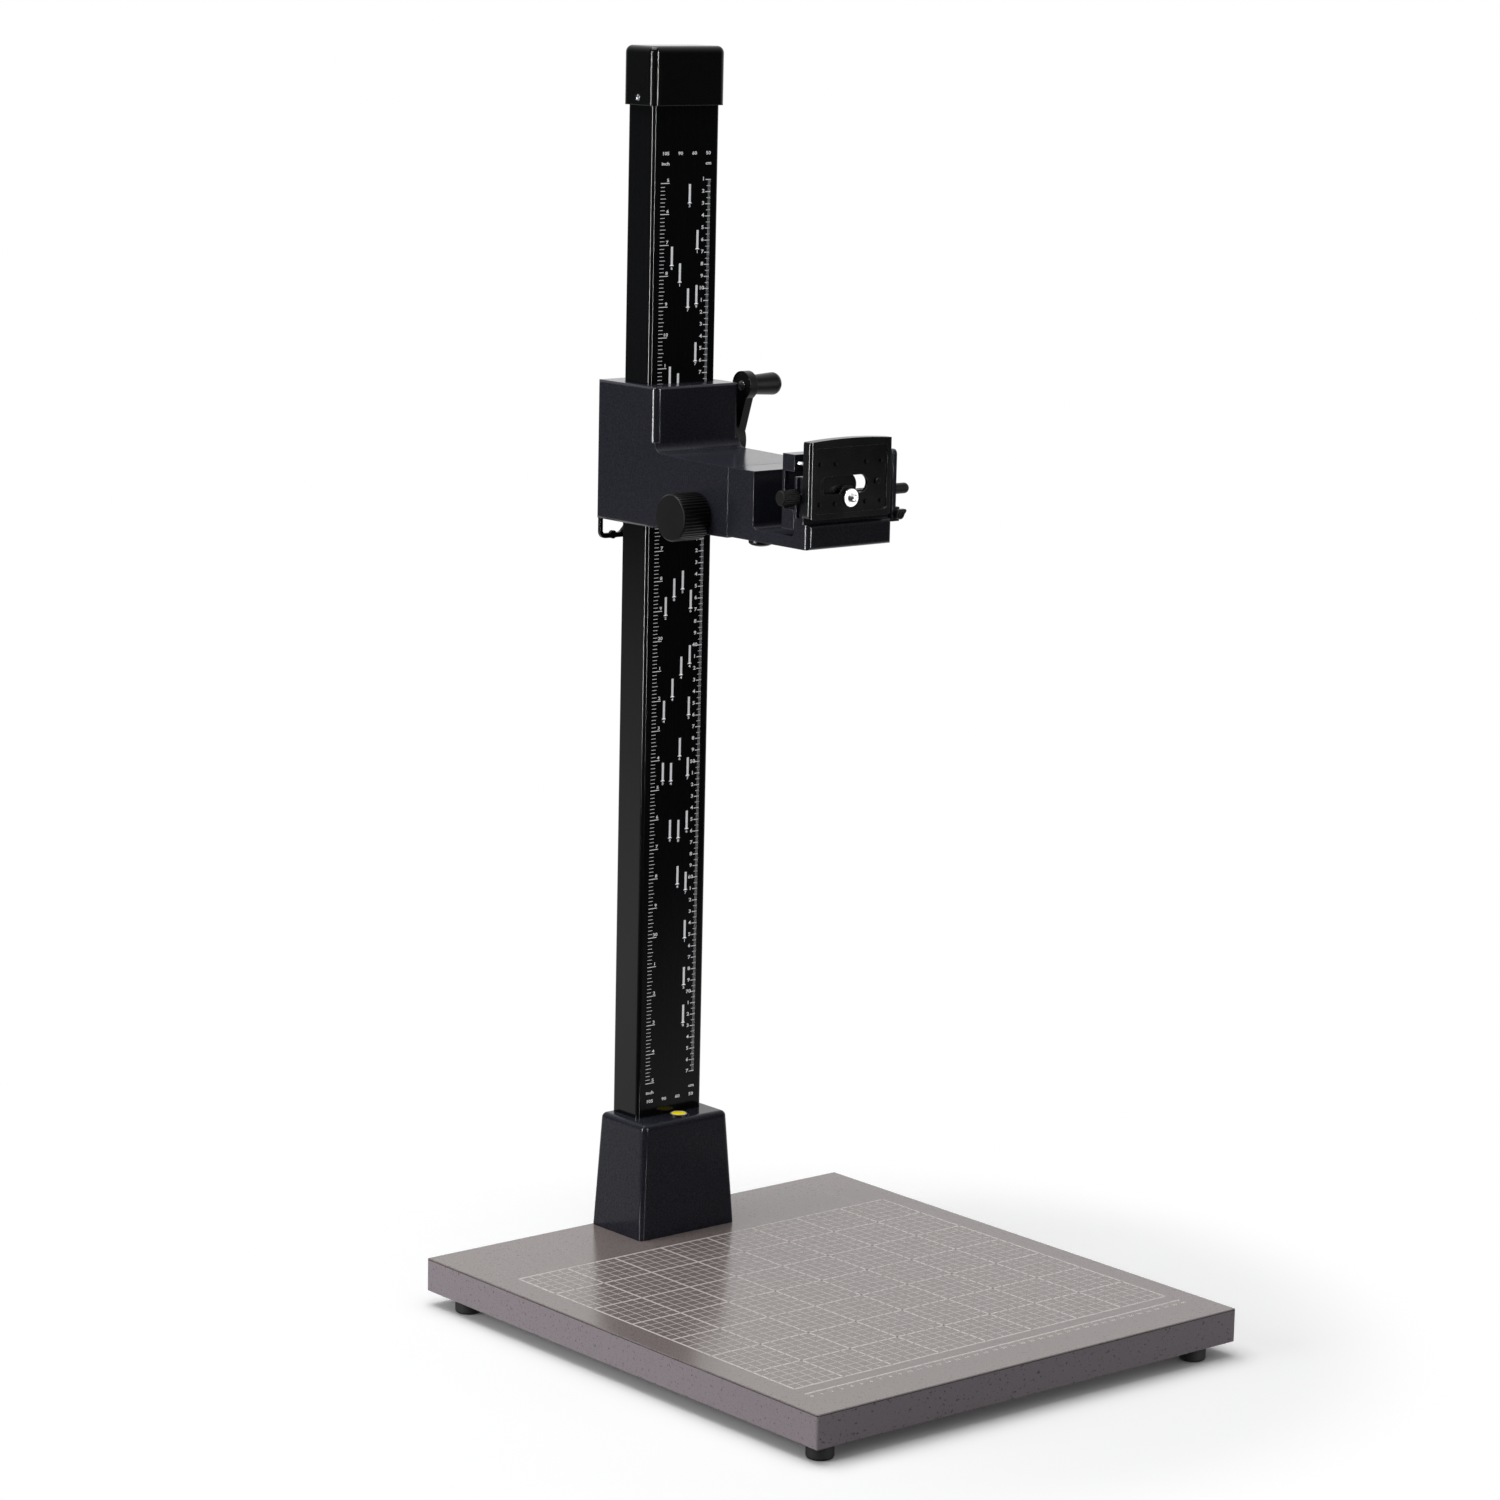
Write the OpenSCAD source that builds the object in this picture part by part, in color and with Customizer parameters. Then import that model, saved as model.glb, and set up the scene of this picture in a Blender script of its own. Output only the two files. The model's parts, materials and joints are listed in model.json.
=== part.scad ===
// Copy stand: a baseboard, a column, a friction-driven carriage with a crank and a tilting camera arm.
// X is to the right seen from the front, Y to the back, Z up; the floor is z = 0 and y = 0 is mid-depth.

/* [Baseboard] */
// Width of the baseboard, left to right
board_w = 450; // [430:5:480]
// Depth of the baseboard, front to back
board_d = 500; // [480:5:540]
// Thickness of the baseboard
board_t = 28; // [26:1:32]
// Height of a rubber foot
foot_h = 12; // [9:1:16]
// Diameter of a rubber foot
foot_d = 22; // [18:1:26]

/* [Column] */
// Width of the column profile
col_w = 70; // [66:1:74]
// Depth of the column profile
col_d = 34; // [32:1:38]
// Wall thickness of the column profile
col_wall = 3; // [2.5:0.25:3.5]
// Height of the column top above the board
col_h = 972; // [900:10:1040]
// Distance of the column's back face from the board's back edge
col_inset = 6; // [6:1:14]
// Height of the shoe that holds the column
shoe_h = 99; // [85:1:110]
// Width of the shoe on the board
shoe_w = 103; // [101:1:110]
// Reach of the shoe on the board in front of the column
shoe_toe = 28.5; // [28:0.5:34]
// Height of the cap on the column
cap_h = 48.4; // [46:0.4:56]
// Diameter of the bubble level
level_d = 17; // [15:0.5:18]

/* [Carriage] */
// Height of the tilt axis above the board in the stored pose
arm_height = 641; // [500:10:720]
// Wall thickness of the carriage casting
car_wall = 4.5; // [4:0.25:5.5]
// Height of the carriage box round the column
box_h = 116.4; // [112:0.4:126]
// Reach of the arm in front of the carriage box
arm_len = 95.2; // [92:0.4:104]
// Height of the arm top above the tilt axis
arm_up = 28.5; // [28:0.25:32]
// Depth of the arm bottom below the tilt axis
arm_down = 29; // [28:0.25:31]
// Diameter of the tilt shaft
tilt_d = 20; // [18:0.5:20]

/* [Drive] */
// Teeth of the crank pinion
pinion_n = 22; // [20:1:24]
// Teeth of the gear on the drive shaft
gear_n = 41; // [38:1:42]
// Width of the gears
gear_w = 4; // [3:0.25:5]
// Radius of the rubber drive roller
drive_r = 9; // [8.5:0.25:9.5]
// Radius of the guide rollers behind the column
guide_r = 8; // [7:0.25:8.5]
// Length of the guide rollers
roller_l = 41.2; // [39:0.2:42]
// Length of the spring drum
drum_l = 32; // [30:0.5:34]
// Radius of the coiled band on the spring drum
coil_r = 11; // [9:0.5:11]

/* [Controls] */
// Radius of the crank hub
hub_r = 23.7; // [20:0.5:25]
// Distance of the crank grip from the crank axis
throw = 52.5; // [46:0.5:58]
// Length of the crank grip
grip_l = 32; // [26:1:38]
// Radius of the arm lock knob
lock_r = 19.5; // [17:0.5:22]
// Length of the arm lock knob
lock_l = 27.7; // [24:0.5:32]
// Radius of the index plunger knob
plunger_r = 10; // [9:0.5:10]

/* [Camera head] */
// Length of the tilting bracket, front to back
bracket_l = 99.4; // [96:0.4:110]
// Depth of the bracket's underside below the tilt axis
bracket_drop = 27.8; // [27.4:0.1:28.2]
// Thickness of the bracket's floor
bracket_floor = 9.3; // [8.5:0.1:10]
// Width of the camera plate
plate_w = 86.5; // [85:0.5:89]
// Height of the camera plate
plate_h = 63.8; // [62.6:0.4:68]
// Travel of the camera plate to either side of the middle
side_travel = 7; // [5:0.5:7]
// Place of the camera plate on its slide as drawn, to the right of the middle
plate_x = -2.9; // [-3.5:0.1:0]
// Diameter of the camera screw's thread
stud_d = 6.35; // [6.35:0.1:6.35]
// Height adjustment of the camera screw
lift_travel = 10.7; // [6:0.1:10.7]
// Radius of the camera screw's thumb wheel
wheel_r = 9.8; // [9:0.1:10]
// Radius of the cross-feed knob
feed_r = 6.2; // [5.5:0.1:6.2]
// Length of the cross-feed knob
feed_l = 17.7; // [14:0.5:20]

/* [Hidden] */
$fn = 72;
// radial gaps: a turning fit, a part that stays put, pieces that move past each other
run = 0.05;
snug = 0.02;
gap = 0.3;
board_top = foot_h + board_t;
// the middle of the whole depth, board to guide cover, is at y = 0
car_over = 2 * guide_r + 8 - col_inset;
board_front = -(board_d + car_over) / 2;
board_back = board_front + board_d;
col_back = board_back - col_inset;
col_front = col_back - col_d;
col_y = (col_front + col_back) / 2;
col_hw = col_w / 2;
col_low = board_top + 10;
col_top = board_top + col_h;
shoe_top = board_top + shoe_h;
cap_top = col_top + 29.7;
cap_low = cap_top - cap_h;
axle_z = col_top - coil_r - 1.5;
axle_r = 4;
band_y = col_y + coil_r + 0.3;
foot_at = [
  [-board_w / 2 + 16, board_front + 14.5], [board_w / 2 - 34, board_front + 14.5],
  [-board_w / 2 + 16, board_back - 37], [board_w / 2 - 34, board_back - 37]];
shoe_bolt_at = [
  [-col_hw + 1, col_front - 16], [col_hw - 1, col_front - 16],
  [-col_hw - 8.3, col_back - 8], [col_hw + 8.3, col_back - 8]];
port_at = [for (x = [-col_hw + 7.5, col_hw - 7.5]) for (y = [col_front + 7.5, col_back - 7.5]) [x, y]];
level_at = [3, col_front - level_d / 2 - 1];
// carriage
axis_z = board_top + arm_height;
arm_top = axis_z + arm_up;
box_low = axis_z - arm_down - 3.4;
box_top = box_low + box_h;
box_front = col_front - 21.3;
box_back = col_back + 2 * guide_r + 8;
seam_y = box_front - arm_len;
side_gap = gear_w + 1.5;
car_in = col_hw + side_gap;
car_hw = car_in + car_wall;
cover_hw = car_in - 3.7;
cover_t = 4.2;
// drive train
roll_gap = 0.15;
drive_y = col_front - drive_r - roll_gap;
drive_z = axis_z + 6.6;
gear_r = gear_n / 2 + 1;
mesh_a = 60.3;
mesh_d = (gear_n + pinion_n) / 2;
crank_y = drive_y + mesh_d * cos(mesh_a);
crank_z = drive_z + mesh_d * sin(mesh_a);
gear_x = col_hw + 0.7;
upper_r = 7.5;
upper_y = col_front - upper_r - roll_gap;
upper_z = box_top - 17;
guide_y = col_back + guide_r + roll_gap;
guide_z = [box_low + 19.4, box_top - 20];
// strap that takes the band: the outer face of its leg, the underside of its run
hook_x = -car_in - 2.2;
hook_low = box_low - 17.5;
band_low = box_low - 14.6;
hook_t = 3;
hub_x = car_hw + 1;
hub_t = 12;
grip_x = hub_x + hub_t + gap;
throw_a = 116.6;
grip_y = crank_y + throw * cos(throw_a);
grip_z = crank_z + throw * sin(throw_a);
// tilt shaft, collar, lock and index plunger
tilt_r = tilt_d / 2;
lock_y = seam_y + 39.2;
lock_z = axis_z - tilt_r - 5.4;
plunge_y = seam_y + 11;
nose_t = 20.5;
tail_y = seam_y + 0.5935 * arm_len;
tail_t = 6;
plunge_low = box_low - 8.1;
plunge_lift = 2.2;
spring_seat = axis_z - 20.9;
// tilting bracket, cross slide and camera plate; head_y is the front face of the bracket's wall
br_back = seam_y - gap;
br_front = br_back - bracket_l;
head_y = br_front + 6.2;
wall_t = 11;
floor_low = axis_z - bracket_drop;
floor_top = floor_low + bracket_floor;
block_y = br_back - 32.2;
pin_y = block_y + 16;
rail_y = head_y + wall_t + 0.2;
rail_back = rail_y + 14.8;
feed_z = axis_z + 14;
feed_y = head_y + feed_r;
lip_top = axis_z - 7.8;
end_x = car_hw + 4.5;
end_t = 4;
plate_hw = plate_w / 2;
plate_low = axis_z - 3.5;
plate_top = plate_low + plate_h;
wall_top = plate_low + 0.7868 * plate_h;
plate_y = head_y - gap;
plate_front = head_y - 9.3;
screw_z = axis_z + 12.3;
slot_z = axis_z + 23.1;
slot_x = [-31.6, 18];
slot_r = 7.2;
nut_z = axis_z + 21.5;
track_z = [axis_z - 0.4, axis_z + 40.8];
pin_x = 27.2;
pin_z = axis_z + 24.4;
lever_x = end_x + 5.1;
lever_z = axis_z - 5.5;

// Helpers: a 2D outline pushed along an axis, rods and plain or rounded blocks
module along_x(x0, x1) translate([x0, 0, 0]) rotate([90, 0, 90]) linear_extrude(x1 - x0) children();

module along_y(y0, y1) translate([0, y1, 0]) rotate([90, 0, 0]) linear_extrude(y1 - y0) children();

module rod_x(y, z, r, x0, x1) translate([x0, y, z]) rotate([0, 90, 0]) cylinder(r = r, h = x1 - x0);

module rod_y(x, z, r, y0, y1) translate([x, y0, z]) rotate([-90, 0, 0]) cylinder(r = r, h = y1 - y0);

module rod_z(x, y, r, z0, z1) translate([x, y, z0]) cylinder(r = r, h = z1 - z0);

module block(x, y, z) translate([x[0], y[0], z[0]]) cube([x[1] - x[0], y[1] - y[0], z[1] - z[0]]);

// block with the upright edges rounded to r
module rblock(x, y, z, r) {
  block([x[0] + r, x[1] - r], y, z);
  block(x, [y[0] + r, y[1] - r], z);
  for (px = [x[0] + r, x[1] - r]) for (py = [y[0] + r, y[1] - r]) rod_z(px, py, r, z[0], z[1]);
}

// outline of a rectangle with its corners cut at 45 degrees by c
module cut_rect(a, b, c) polygon([
  [a[0] + c, b[0]], [a[1] - c, b[0]], [a[1], b[0] + c], [a[1], b[1] - c],
  [a[1] - c, b[1]], [a[0] + c, b[1]], [a[0], b[1] - c], [a[0], b[0] + c]]);

// block with every edge broken by a chamfer c and the upright edges rounded to r
module soft_block(x, y, z, r, c) intersection() {
  rblock(x, y, z, r);
  along_y(y[0] - 1, y[1] + 1) cut_rect(x, z, c);
  along_x(x[0] - 1, x[1] + 1) cut_rect(y, z, c);
}

// round post whose upper edge is rounded to e; used as a hull corner
module post(x, y, z0, z1, r, e) translate([x, y, z0]) rotate_extrude($fn = 32) polygon(concat(
  [[0, 0], [r, 0]],
  [for (a = [0:15:90]) [r - e + e * cos(a), z1 - z0 - e + e * sin(a)]],
  [[0, z1 - z0]]));

function pol(r, a) = [r * cos(a), r * sin(a)];

function inv_a(r, rb) = let (a = acos(rb / r)) tan(a) * 180 / PI - a;

// involute gear outline of module 1, one tooth centred on the angle a0
module gear_outline(n, a0) {
  rp = n / 2;
  rb = rp * cos(20);
  half = (PI / 2 - 0.14) / 2 / rp * 180 / PI + inv_a(rp, rb);
  rr = rp - 1.25;
  radii = [rr, max(rb, rr + 0.2), rp - 0.45, rp, rp + 0.5, rp + 0.95];
  k = len(radii);
  polygon([for (i = [0:n - 1]) for (j = [0:2 * k - 1])
    let (r = j < k ? radii[j] : radii[2 * k - 1 - j], h = half - (r > rb ? inv_a(r, rb) : 0))
    pol(r, a0 + 360 * i / n + (j < k ? -h : h))]);
}

// knob along X from x0 to x1 with n flutes and broken end edges
module fluted_x(y, z, r, x0, x1, n, fr, fd, c) difference() {
  translate([x0, y, z]) rotate([90, 0, 90]) rotate_extrude() polygon([
    [0, 0], [r - c, 0], [r, c], [r, x1 - x0 - c], [r - c, x1 - x0], [0, x1 - x0]]);
  for (i = [0:n - 1]) {
    a = 360 * i / n;
    rod_x(y + (r + fr - fd) * cos(a), z + (r + fr - fd) * sin(a), fr, x0 - 1, x1 + 1);
  }
}

// annular sector pushed round a helix: a square-wire spring
module coil(r0, r1, h, turns) linear_extrude(h, twist = -360 * turns, slices = turns * 10, segments = 8)
  polygon(concat([for (a = [0, 70, 140]) pol(r1, a)], [for (a = [140:-35:0]) pol(r0, a)]));

// Base
module baseboard() color("dimgray") difference() {
  soft_block([-board_w / 2, board_w / 2], [board_front, board_back], [foot_h, board_top], 2, 0.8);
  for (p = foot_at) rod_z(p[0], p[1], 2 + snug, foot_h - 1, foot_h + 15);
  for (p = shoe_bolt_at) {
    rod_z(p[0], p[1], 3 + gap, foot_h - 1, board_top + 1);
    rod_z(p[0], p[1], 5.6, foot_h - 1, foot_h + 8);
  }
  for (p = port_at) {
    rod_z(p[0], p[1], 2.5 + gap, foot_h - 1, board_top + 1);
    rod_z(p[0], p[1], 5, foot_h - 1, foot_h + 8);
  }
}

module rubber_feet() color("black") for (p = foot_at) translate([p[0], p[1], 0]) difference() {
  rotate_extrude() polygon([
    [0, 0], [foot_d / 2 - 2, 0], [foot_d / 2 - 0.6, 0.6], [foot_d / 2, 2], [foot_d / 2, foot_h], [0, foot_h]]);
  translate([0, 0, -1]) cylinder(r = 2 + gap, h = foot_h + 2);
  translate([0, 0, -1]) cylinder(r = 4.6, h = foot_h / 2 + 1);
}

module foot_screws() color("silver") for (p = foot_at) {
  rod_z(p[0], p[1], 4, foot_h / 2 - 2.6, foot_h / 2);
  rod_z(p[0], p[1], 2, foot_h / 2 - 0.1, foot_h + 14);
}

module column_shoe() color([0.2, 0.2, 0.22]) difference() {
  hull() for (sx = [-1, 1]) {
    post(sx * (shoe_w / 2 - 4), col_front - shoe_toe + 4, board_top, board_top + 2, 4, 0.2);
    post(sx * (shoe_w / 2 - 4), col_back + 1.5, board_top, board_top + 2, 4, 0.2);
    post(sx * (shoe_w / 2 - 10.5), col_front - shoe_toe + 10, shoe_top - 12, shoe_top, 5, 4.9);
    post(sx * (shoe_w / 2 - 10.5), col_back - 1.5, shoe_top - 12, shoe_top, 5, 4.9);
  }
  rblock([-col_hw - 0.1, col_hw + 0.1], [col_front - 0.1, col_back + 0.1], [col_low, shoe_top + 1], 3.1);
  for (p = shoe_bolt_at) rod_z(p[0], p[1], 3 + snug, board_top - 1, board_top + 20);
  for (p = port_at) rod_z(p[0], p[1], 2.5 + gap, board_top - 1, col_low + 1);
  rod_z(level_at[0], level_at[1], level_d / 2 + 0.1, shoe_top - 3, shoe_top + 1);
}

module shoe_bolts() color("silver") for (p = shoe_bolt_at) {
  rod_z(p[0], p[1], 5, foot_h + 2, foot_h + 7.9);
  rod_z(p[0], p[1], 3, foot_h + 7.8, board_top + 18);
}

module column_bolts() color("silver") for (p = port_at) {
  rod_z(p[0], p[1], 4.5, foot_h + 3, foot_h + 7.9);
  rod_z(p[0], p[1], 2.5, foot_h + 7.8, col_low + 22);
}

module column() color([0.1, 0.1, 0.11]) difference() {
  union() {
    difference() {
      rblock([-col_hw, col_hw], [col_front, col_back], [col_low + 0.05, col_top], 3);
      block([-col_hw + col_wall, col_hw - col_wall], [col_front + col_wall, col_back - col_wall],
        [col_low - 1, col_top + 1]);
    }
    for (p = port_at) {
      rod_z(p[0], p[1], 5, col_low + 0.05, col_top);
      sx = sign(p[0]);
      sy = sign(p[1] - col_y);
      translate([p[0] + sx * 2.5, p[1] + sy * 2.5, (col_low + 0.05 + col_top) / 2])
        cube([5, 5, col_top - col_low - 0.05], center = true);
    }
  }
  for (p = port_at) rod_z(p[0], p[1], 2.5 + snug, col_low - 1, col_top + 1);
  block([-8, 8], [col_back - col_wall - 1, col_back + 1], [shoe_top + 5, cap_low - 90]);
  rod_x(col_y, axle_z, axle_r + snug, -col_hw - 1, col_hw + 1);
}

module level_housing() color("black") difference() {
  rod_z(level_at[0], level_at[1], level_d / 2, shoe_top - 3, shoe_top + 1.2);
  rod_z(level_at[0], level_at[1], level_d / 2 - 1.2, shoe_top - 1.6, shoe_top + 2);
}

module level_vial() color("gold") translate([level_at[0], level_at[1], shoe_top - 1.55]) rotate_extrude() {
  polygon(concat([[0, 0], [level_d / 2 - 1.3, 0], [level_d / 2 - 1.3, 2.4]],
    [for (i = [1:5]) [(level_d / 2 - 1.3) * (1 - i / 5), 2.4 + 0.8 * (1 - pow(1 - i / 5, 2))]]));
}

module top_cap() color([0.1, 0.1, 0.11]) difference() {
  hull() for (px = [-col_hw + 2.5, col_hw - 2.5]) for (py = [col_front + 2.5, col_back - 2.5])
    post(px, py, cap_low, cap_top, 6, 5.8);
  rblock([-col_hw - 0.1, col_hw + 0.1], [col_front - 0.1, col_back + 0.1], [cap_low - 1, col_top + 0.05], 3.1);
  block([-col_hw + 5, col_hw - 5], [col_front + col_wall, col_back - col_wall], [col_top - 1, cap_top - 4]);
  rod_x(col_y, axle_z, 2.7, -col_hw - 5, col_hw + 5);
}

module cap_screws() color("gray") for (s = [-1, 1]) {
  rod_x(col_y, axle_z, 2.6, s * (col_hw + 1.6) - 1.5, s * (col_hw + 1.6) + 1.5);
  rod_x(col_y, axle_z, 1.6, s * (col_hw - 4) - 4.2, s * (col_hw - 4) + 4.2);
}

module drum_axle() color("silver") difference() {
  rod_x(col_y, axle_z, axle_r, -col_hw, col_hw);
  for (s = [-1, 1]) rod_x(col_y, axle_z, 1.6 + snug, s * (col_hw - 4) - 5, s * (col_hw - 4) + 5);
}

module spring_drum() color("silver") difference() {
  union() {
    rod_x(col_y, axle_z, coil_r, 3 - drum_l / 2, drum_l / 2 - 3);
    for (s = [-1, 1]) translate([s * (drum_l / 2 - 3.4), 0, 0]) rod_x(col_y, axle_z, coil_r + 1.2, -0.6, 0.6);
    rod_x(col_y, axle_z, axle_r + 2, -drum_l / 2, drum_l / 2);
  }
  rod_x(col_y, axle_z, axle_r + run, -drum_l / 2 - 1, drum_l / 2 + 1);
}

module counterbalance_band() color("lightsteelblue")
  block([-9, 9], [band_y, band_y + 0.4], [band_low, axle_z]);

// Carriage
module carriage_body() color([0.2, 0.2, 0.22]) difference() {
  union() {
    difference() {
      union() {
        soft_block([-car_hw, car_hw], [box_front, box_back], [box_low, box_top], 6, 1.8);
        along_x(-car_hw, car_hw) difference() {
          polygon([
            [seam_y, axis_z - arm_down], [box_front + 8, box_low + 1.2], [box_front + 8, arm_top + 9.8],
            [box_front, arm_top + 9.8], [box_front - 8, arm_top + 1.6], [seam_y, arm_top]]);
          translate([box_front - 8, arm_top + 9.8]) circle(r = 8);
        }
        rod_x(crank_y, crank_z, 9.5, car_hw - 1, hub_x + 5.4);
      }
      // box, column passage, cover opening and the hollow of the arm
      block([-car_in, car_in], [box_front + car_wall, box_back - cover_t], [box_low + 4, box_top - 4]);
      block([-cover_hw - 0.1, cover_hw + 0.1], [box_back - 5, box_back + 1], [box_low + 4, box_top - 4]);
      rblock([-col_hw - 0.6, col_hw + 0.6], [col_front - 0.6, col_back + 0.6], [box_low - 1, box_top + 1], 3.6);
      block([-car_in, car_in], [tail_y + tail_t, col_front - 0.6], [box_low - 1, arm_top - 4.5]);
      block([-car_in, car_in], [seam_y + nose_t, tail_y], [box_low - 1, arm_top - 4.5]);
      rod_x(drive_y, drive_z, gear_r + 0.6, col_hw - 0.5, car_in);
    }
    // corner posts for the cover screws
    for (s = [-1, 1]) for (z = [box_low + 3.9, box_top - 17.4])
      block([s > 0 ? cover_hw - 7 : -car_in - 0.1, s > 0 ? car_in + 0.1 : -cover_hw + 7],
        [box_back - 18, box_back - cover_t], [z, z + 13.5]);
  }
  for (p = cover_screw_at()) rod_y(p[0], p[1], 2 + snug, box_back - 17, box_back);
  // tilt shaft bores, plunger seat, lock screw, shafts and axle
  rod_y(0, axis_z, tilt_r + run, seam_y - 1, tail_y + tail_t + 1);
  rod_z(0, plunge_y, 3 + run, axis_z - 14, axis_z);
  rod_z(0, plunge_y, 5.6, axis_z - 22, axis_z - 12);
  rod_z(0, plunge_y, 7.5 + snug, box_low - 5, axis_z - 21);
  rod_x(lock_y, lock_z, 3 + gap, -car_hw - 1, -car_in + 1);
  rod_x(crank_y, crank_z, 5 + run, car_in - 1, hub_x + 7);
  rod_x(drive_y, drive_z, 4 + run, -car_hw + 1.5, -car_in + 1);
  rod_x(drive_y, drive_z, 4 + run, car_in - 1, car_hw + 1);
  rod_x(upper_y, upper_z, 3 + snug, -car_hw + 1.5, -car_in + 1);
  rod_x(upper_y, upper_z, 3 + snug, car_in - 1, car_hw + 1);
  // pocket of the hook strap, holes of the collar and hook screws
  block([-car_in - 2.8, -car_in + 1.5], [box_back - 6.2, box_back - 1.8], [box_low - 1, box_low + 16]);
  for (s = [-1, 1]) rod_z(s * 24, lock_y, 2 + snug, arm_top - 6, arm_top - 1.6);
}

function cover_screw_at() = [for (x = [-cover_hw + 4.3, cover_hw - 4.3]) for (z = [box_low + 10.7, box_top - 10.7])
  [x, z]];

module guide_cover() color([0.17, 0.17, 0.19]) difference() {
  union() {
    block([-cover_hw, cover_hw], [box_back - cover_t + 0.05, box_back], [box_low + 4.1, box_top - 4.1]);
    for (s = [-1, 1]) for (z = guide_z) translate([s * (roller_l / 2 + 1.9), 0, 0]) along_x(-1.5, 1.5) {
      translate([guide_y, z]) circle(r = 6);
      translate([guide_y, z - 6]) square([box_back - cover_t + 0.1 - guide_y, 12]);
    }
  }
  for (p = cover_screw_at()) {
    rod_y(p[0], p[1], 2 + gap, box_back - 6, box_back + 1);
    rod_y(p[0], p[1], 3.9, box_back - 2.1, box_back + 1);
  }
  for (z = guide_z) rod_x(guide_y, z, 3 + snug, -roller_l / 2 - 4.4, roller_l / 2 + 4.4);
}

module cover_screws() color("silver") for (p = cover_screw_at()) {
  rod_y(p[0], p[1], 3.7, box_back - 2.05, box_back);
  rod_y(p[0], p[1], 2, box_back - 15, box_back - 2);
}

module guide_axles() color("silver") for (z = guide_z) rod_x(guide_y, z, 3, -roller_l / 2 - 3.6, roller_l / 2 + 3.6);

module guide_roller(z) difference() {
  rod_x(guide_y, z, guide_r, -roller_l / 2, roller_l / 2);
  rod_x(guide_y, z, 3 + run, -roller_l / 2 - 1, roller_l / 2 + 1);
}

module guide_roller_low() color("ivory") guide_roller(guide_z[0]);

module guide_roller_high() color("ivory") guide_roller(guide_z[1]);

module front_axle() color("silver") rod_x(upper_y, upper_z, 3, -car_hw + 1.6, car_hw - 0.4);

module front_roller() color("ivory") difference() {
  rod_x(upper_y, upper_z, upper_r, -car_in + 0.5, car_in - 0.5);
  rod_x(upper_y, upper_z, 3 + run, -car_in, car_in);
}

module drive_shaft() color("silver") {
  rod_x(drive_y, drive_z, 4, -car_hw + 1.7, car_hw - 0.3);
  rod_x(drive_y, drive_z, drive_r - 2, -28, 28);
  rod_x(drive_y, drive_z, 6, -car_in + 0.4, -col_hw);
}

module drive_gear() color("goldenrod") difference() {
  along_x(gear_x, gear_x + gear_w) translate([drive_y, drive_z]) gear_outline(gear_n, mesh_a);
  rod_x(drive_y, drive_z, 4 + snug, gear_x - 1, gear_x + gear_w + 1);
}

module drive_roller() color("black") difference() {
  rod_x(drive_y, drive_z, drive_r, -28, 28);
  rod_x(drive_y, drive_z, drive_r - 2 + snug, -29, 29);
}

// Crank
module crank_arm() color([0.12, 0.12, 0.13]) difference() {
  union() {
    translate([hub_x, crank_y, crank_z]) rotate([90, 0, 90]) rotate_extrude() polygon([
      [0, 0], [hub_r, 0], [hub_r, hub_t - 2], [hub_r - 2, hub_t], [0, hub_t]]);
    along_x(hub_x + 4, hub_x + hub_t) translate([crank_y, crank_z]) rotate([0, 0, throw_a])
      polygon([[0, -17], [0, 17], [throw, 9], [throw, -9]]);
    rod_x(grip_y, grip_z, 12, hub_x + 4, hub_x + hub_t);
  }
  rod_x(crank_y, crank_z, 10, hub_x - 1, hub_x + 5.7);
  rod_x(crank_y, crank_z, 5 + snug, hub_x + 5, hub_x + hub_t - 2);
  rod_x(crank_y, crank_z, 2.5 + gap, hub_x + hub_t - 3, hub_x + hub_t + 1);
  rod_x(crank_y, crank_z, 5, hub_x + hub_t - 1, hub_x + hub_t + 1);
  rod_x(grip_y, grip_z, 4 + snug, hub_x + 3, hub_x + hub_t + 1);
}

module crank_pinion() color("silver") difference() {
  union() {
    along_x(gear_x, gear_x + gear_w) translate([crank_y, crank_z])
      gear_outline(pinion_n, mesh_a + 180 + 180 / pinion_n);
    rod_x(crank_y, crank_z, 5, gear_x, hub_x + hub_t - 2.05);
  }
  rod_x(crank_y, crank_z, 2.5 + snug, hub_x - 6, hub_x + hub_t);
}

module crank_screw() color("silver") {
  rod_x(crank_y, crank_z, 4.8, hub_x + hub_t - 0.95, hub_x + hub_t + 1.6);
  rod_x(crank_y, crank_z, 2.5, hub_x - 4, hub_x + hub_t - 0.9);
}

module grip_pin() color("silver") {
  rod_x(grip_y, grip_z, 4, hub_x + 4, grip_x + grip_l - 8);
  rod_x(grip_y, grip_z, 5.2, grip_x + grip_l - 8.1, grip_x + grip_l - 6);
}

module crank_grip() color([0.1, 0.1, 0.1]) difference() {
  translate([grip_x, grip_y, grip_z]) rotate([90, 0, 90]) rotate_extrude() polygon(concat(
    [[0, 0], [7.4, 0], [8, 0.6], [9.5, grip_l - 7]],
    [for (a = [10:10:80]) [9.5 * cos(a), grip_l - 7 + 7 * sin(a)]], [[0, grip_l]]));
  rod_x(grip_y, grip_z, 4 + run, grip_x - 1, grip_x + grip_l - 8);
  rod_x(grip_y, grip_z, 5.3, grip_x + grip_l - 8.3, grip_x + grip_l - 5.7);
}

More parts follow.
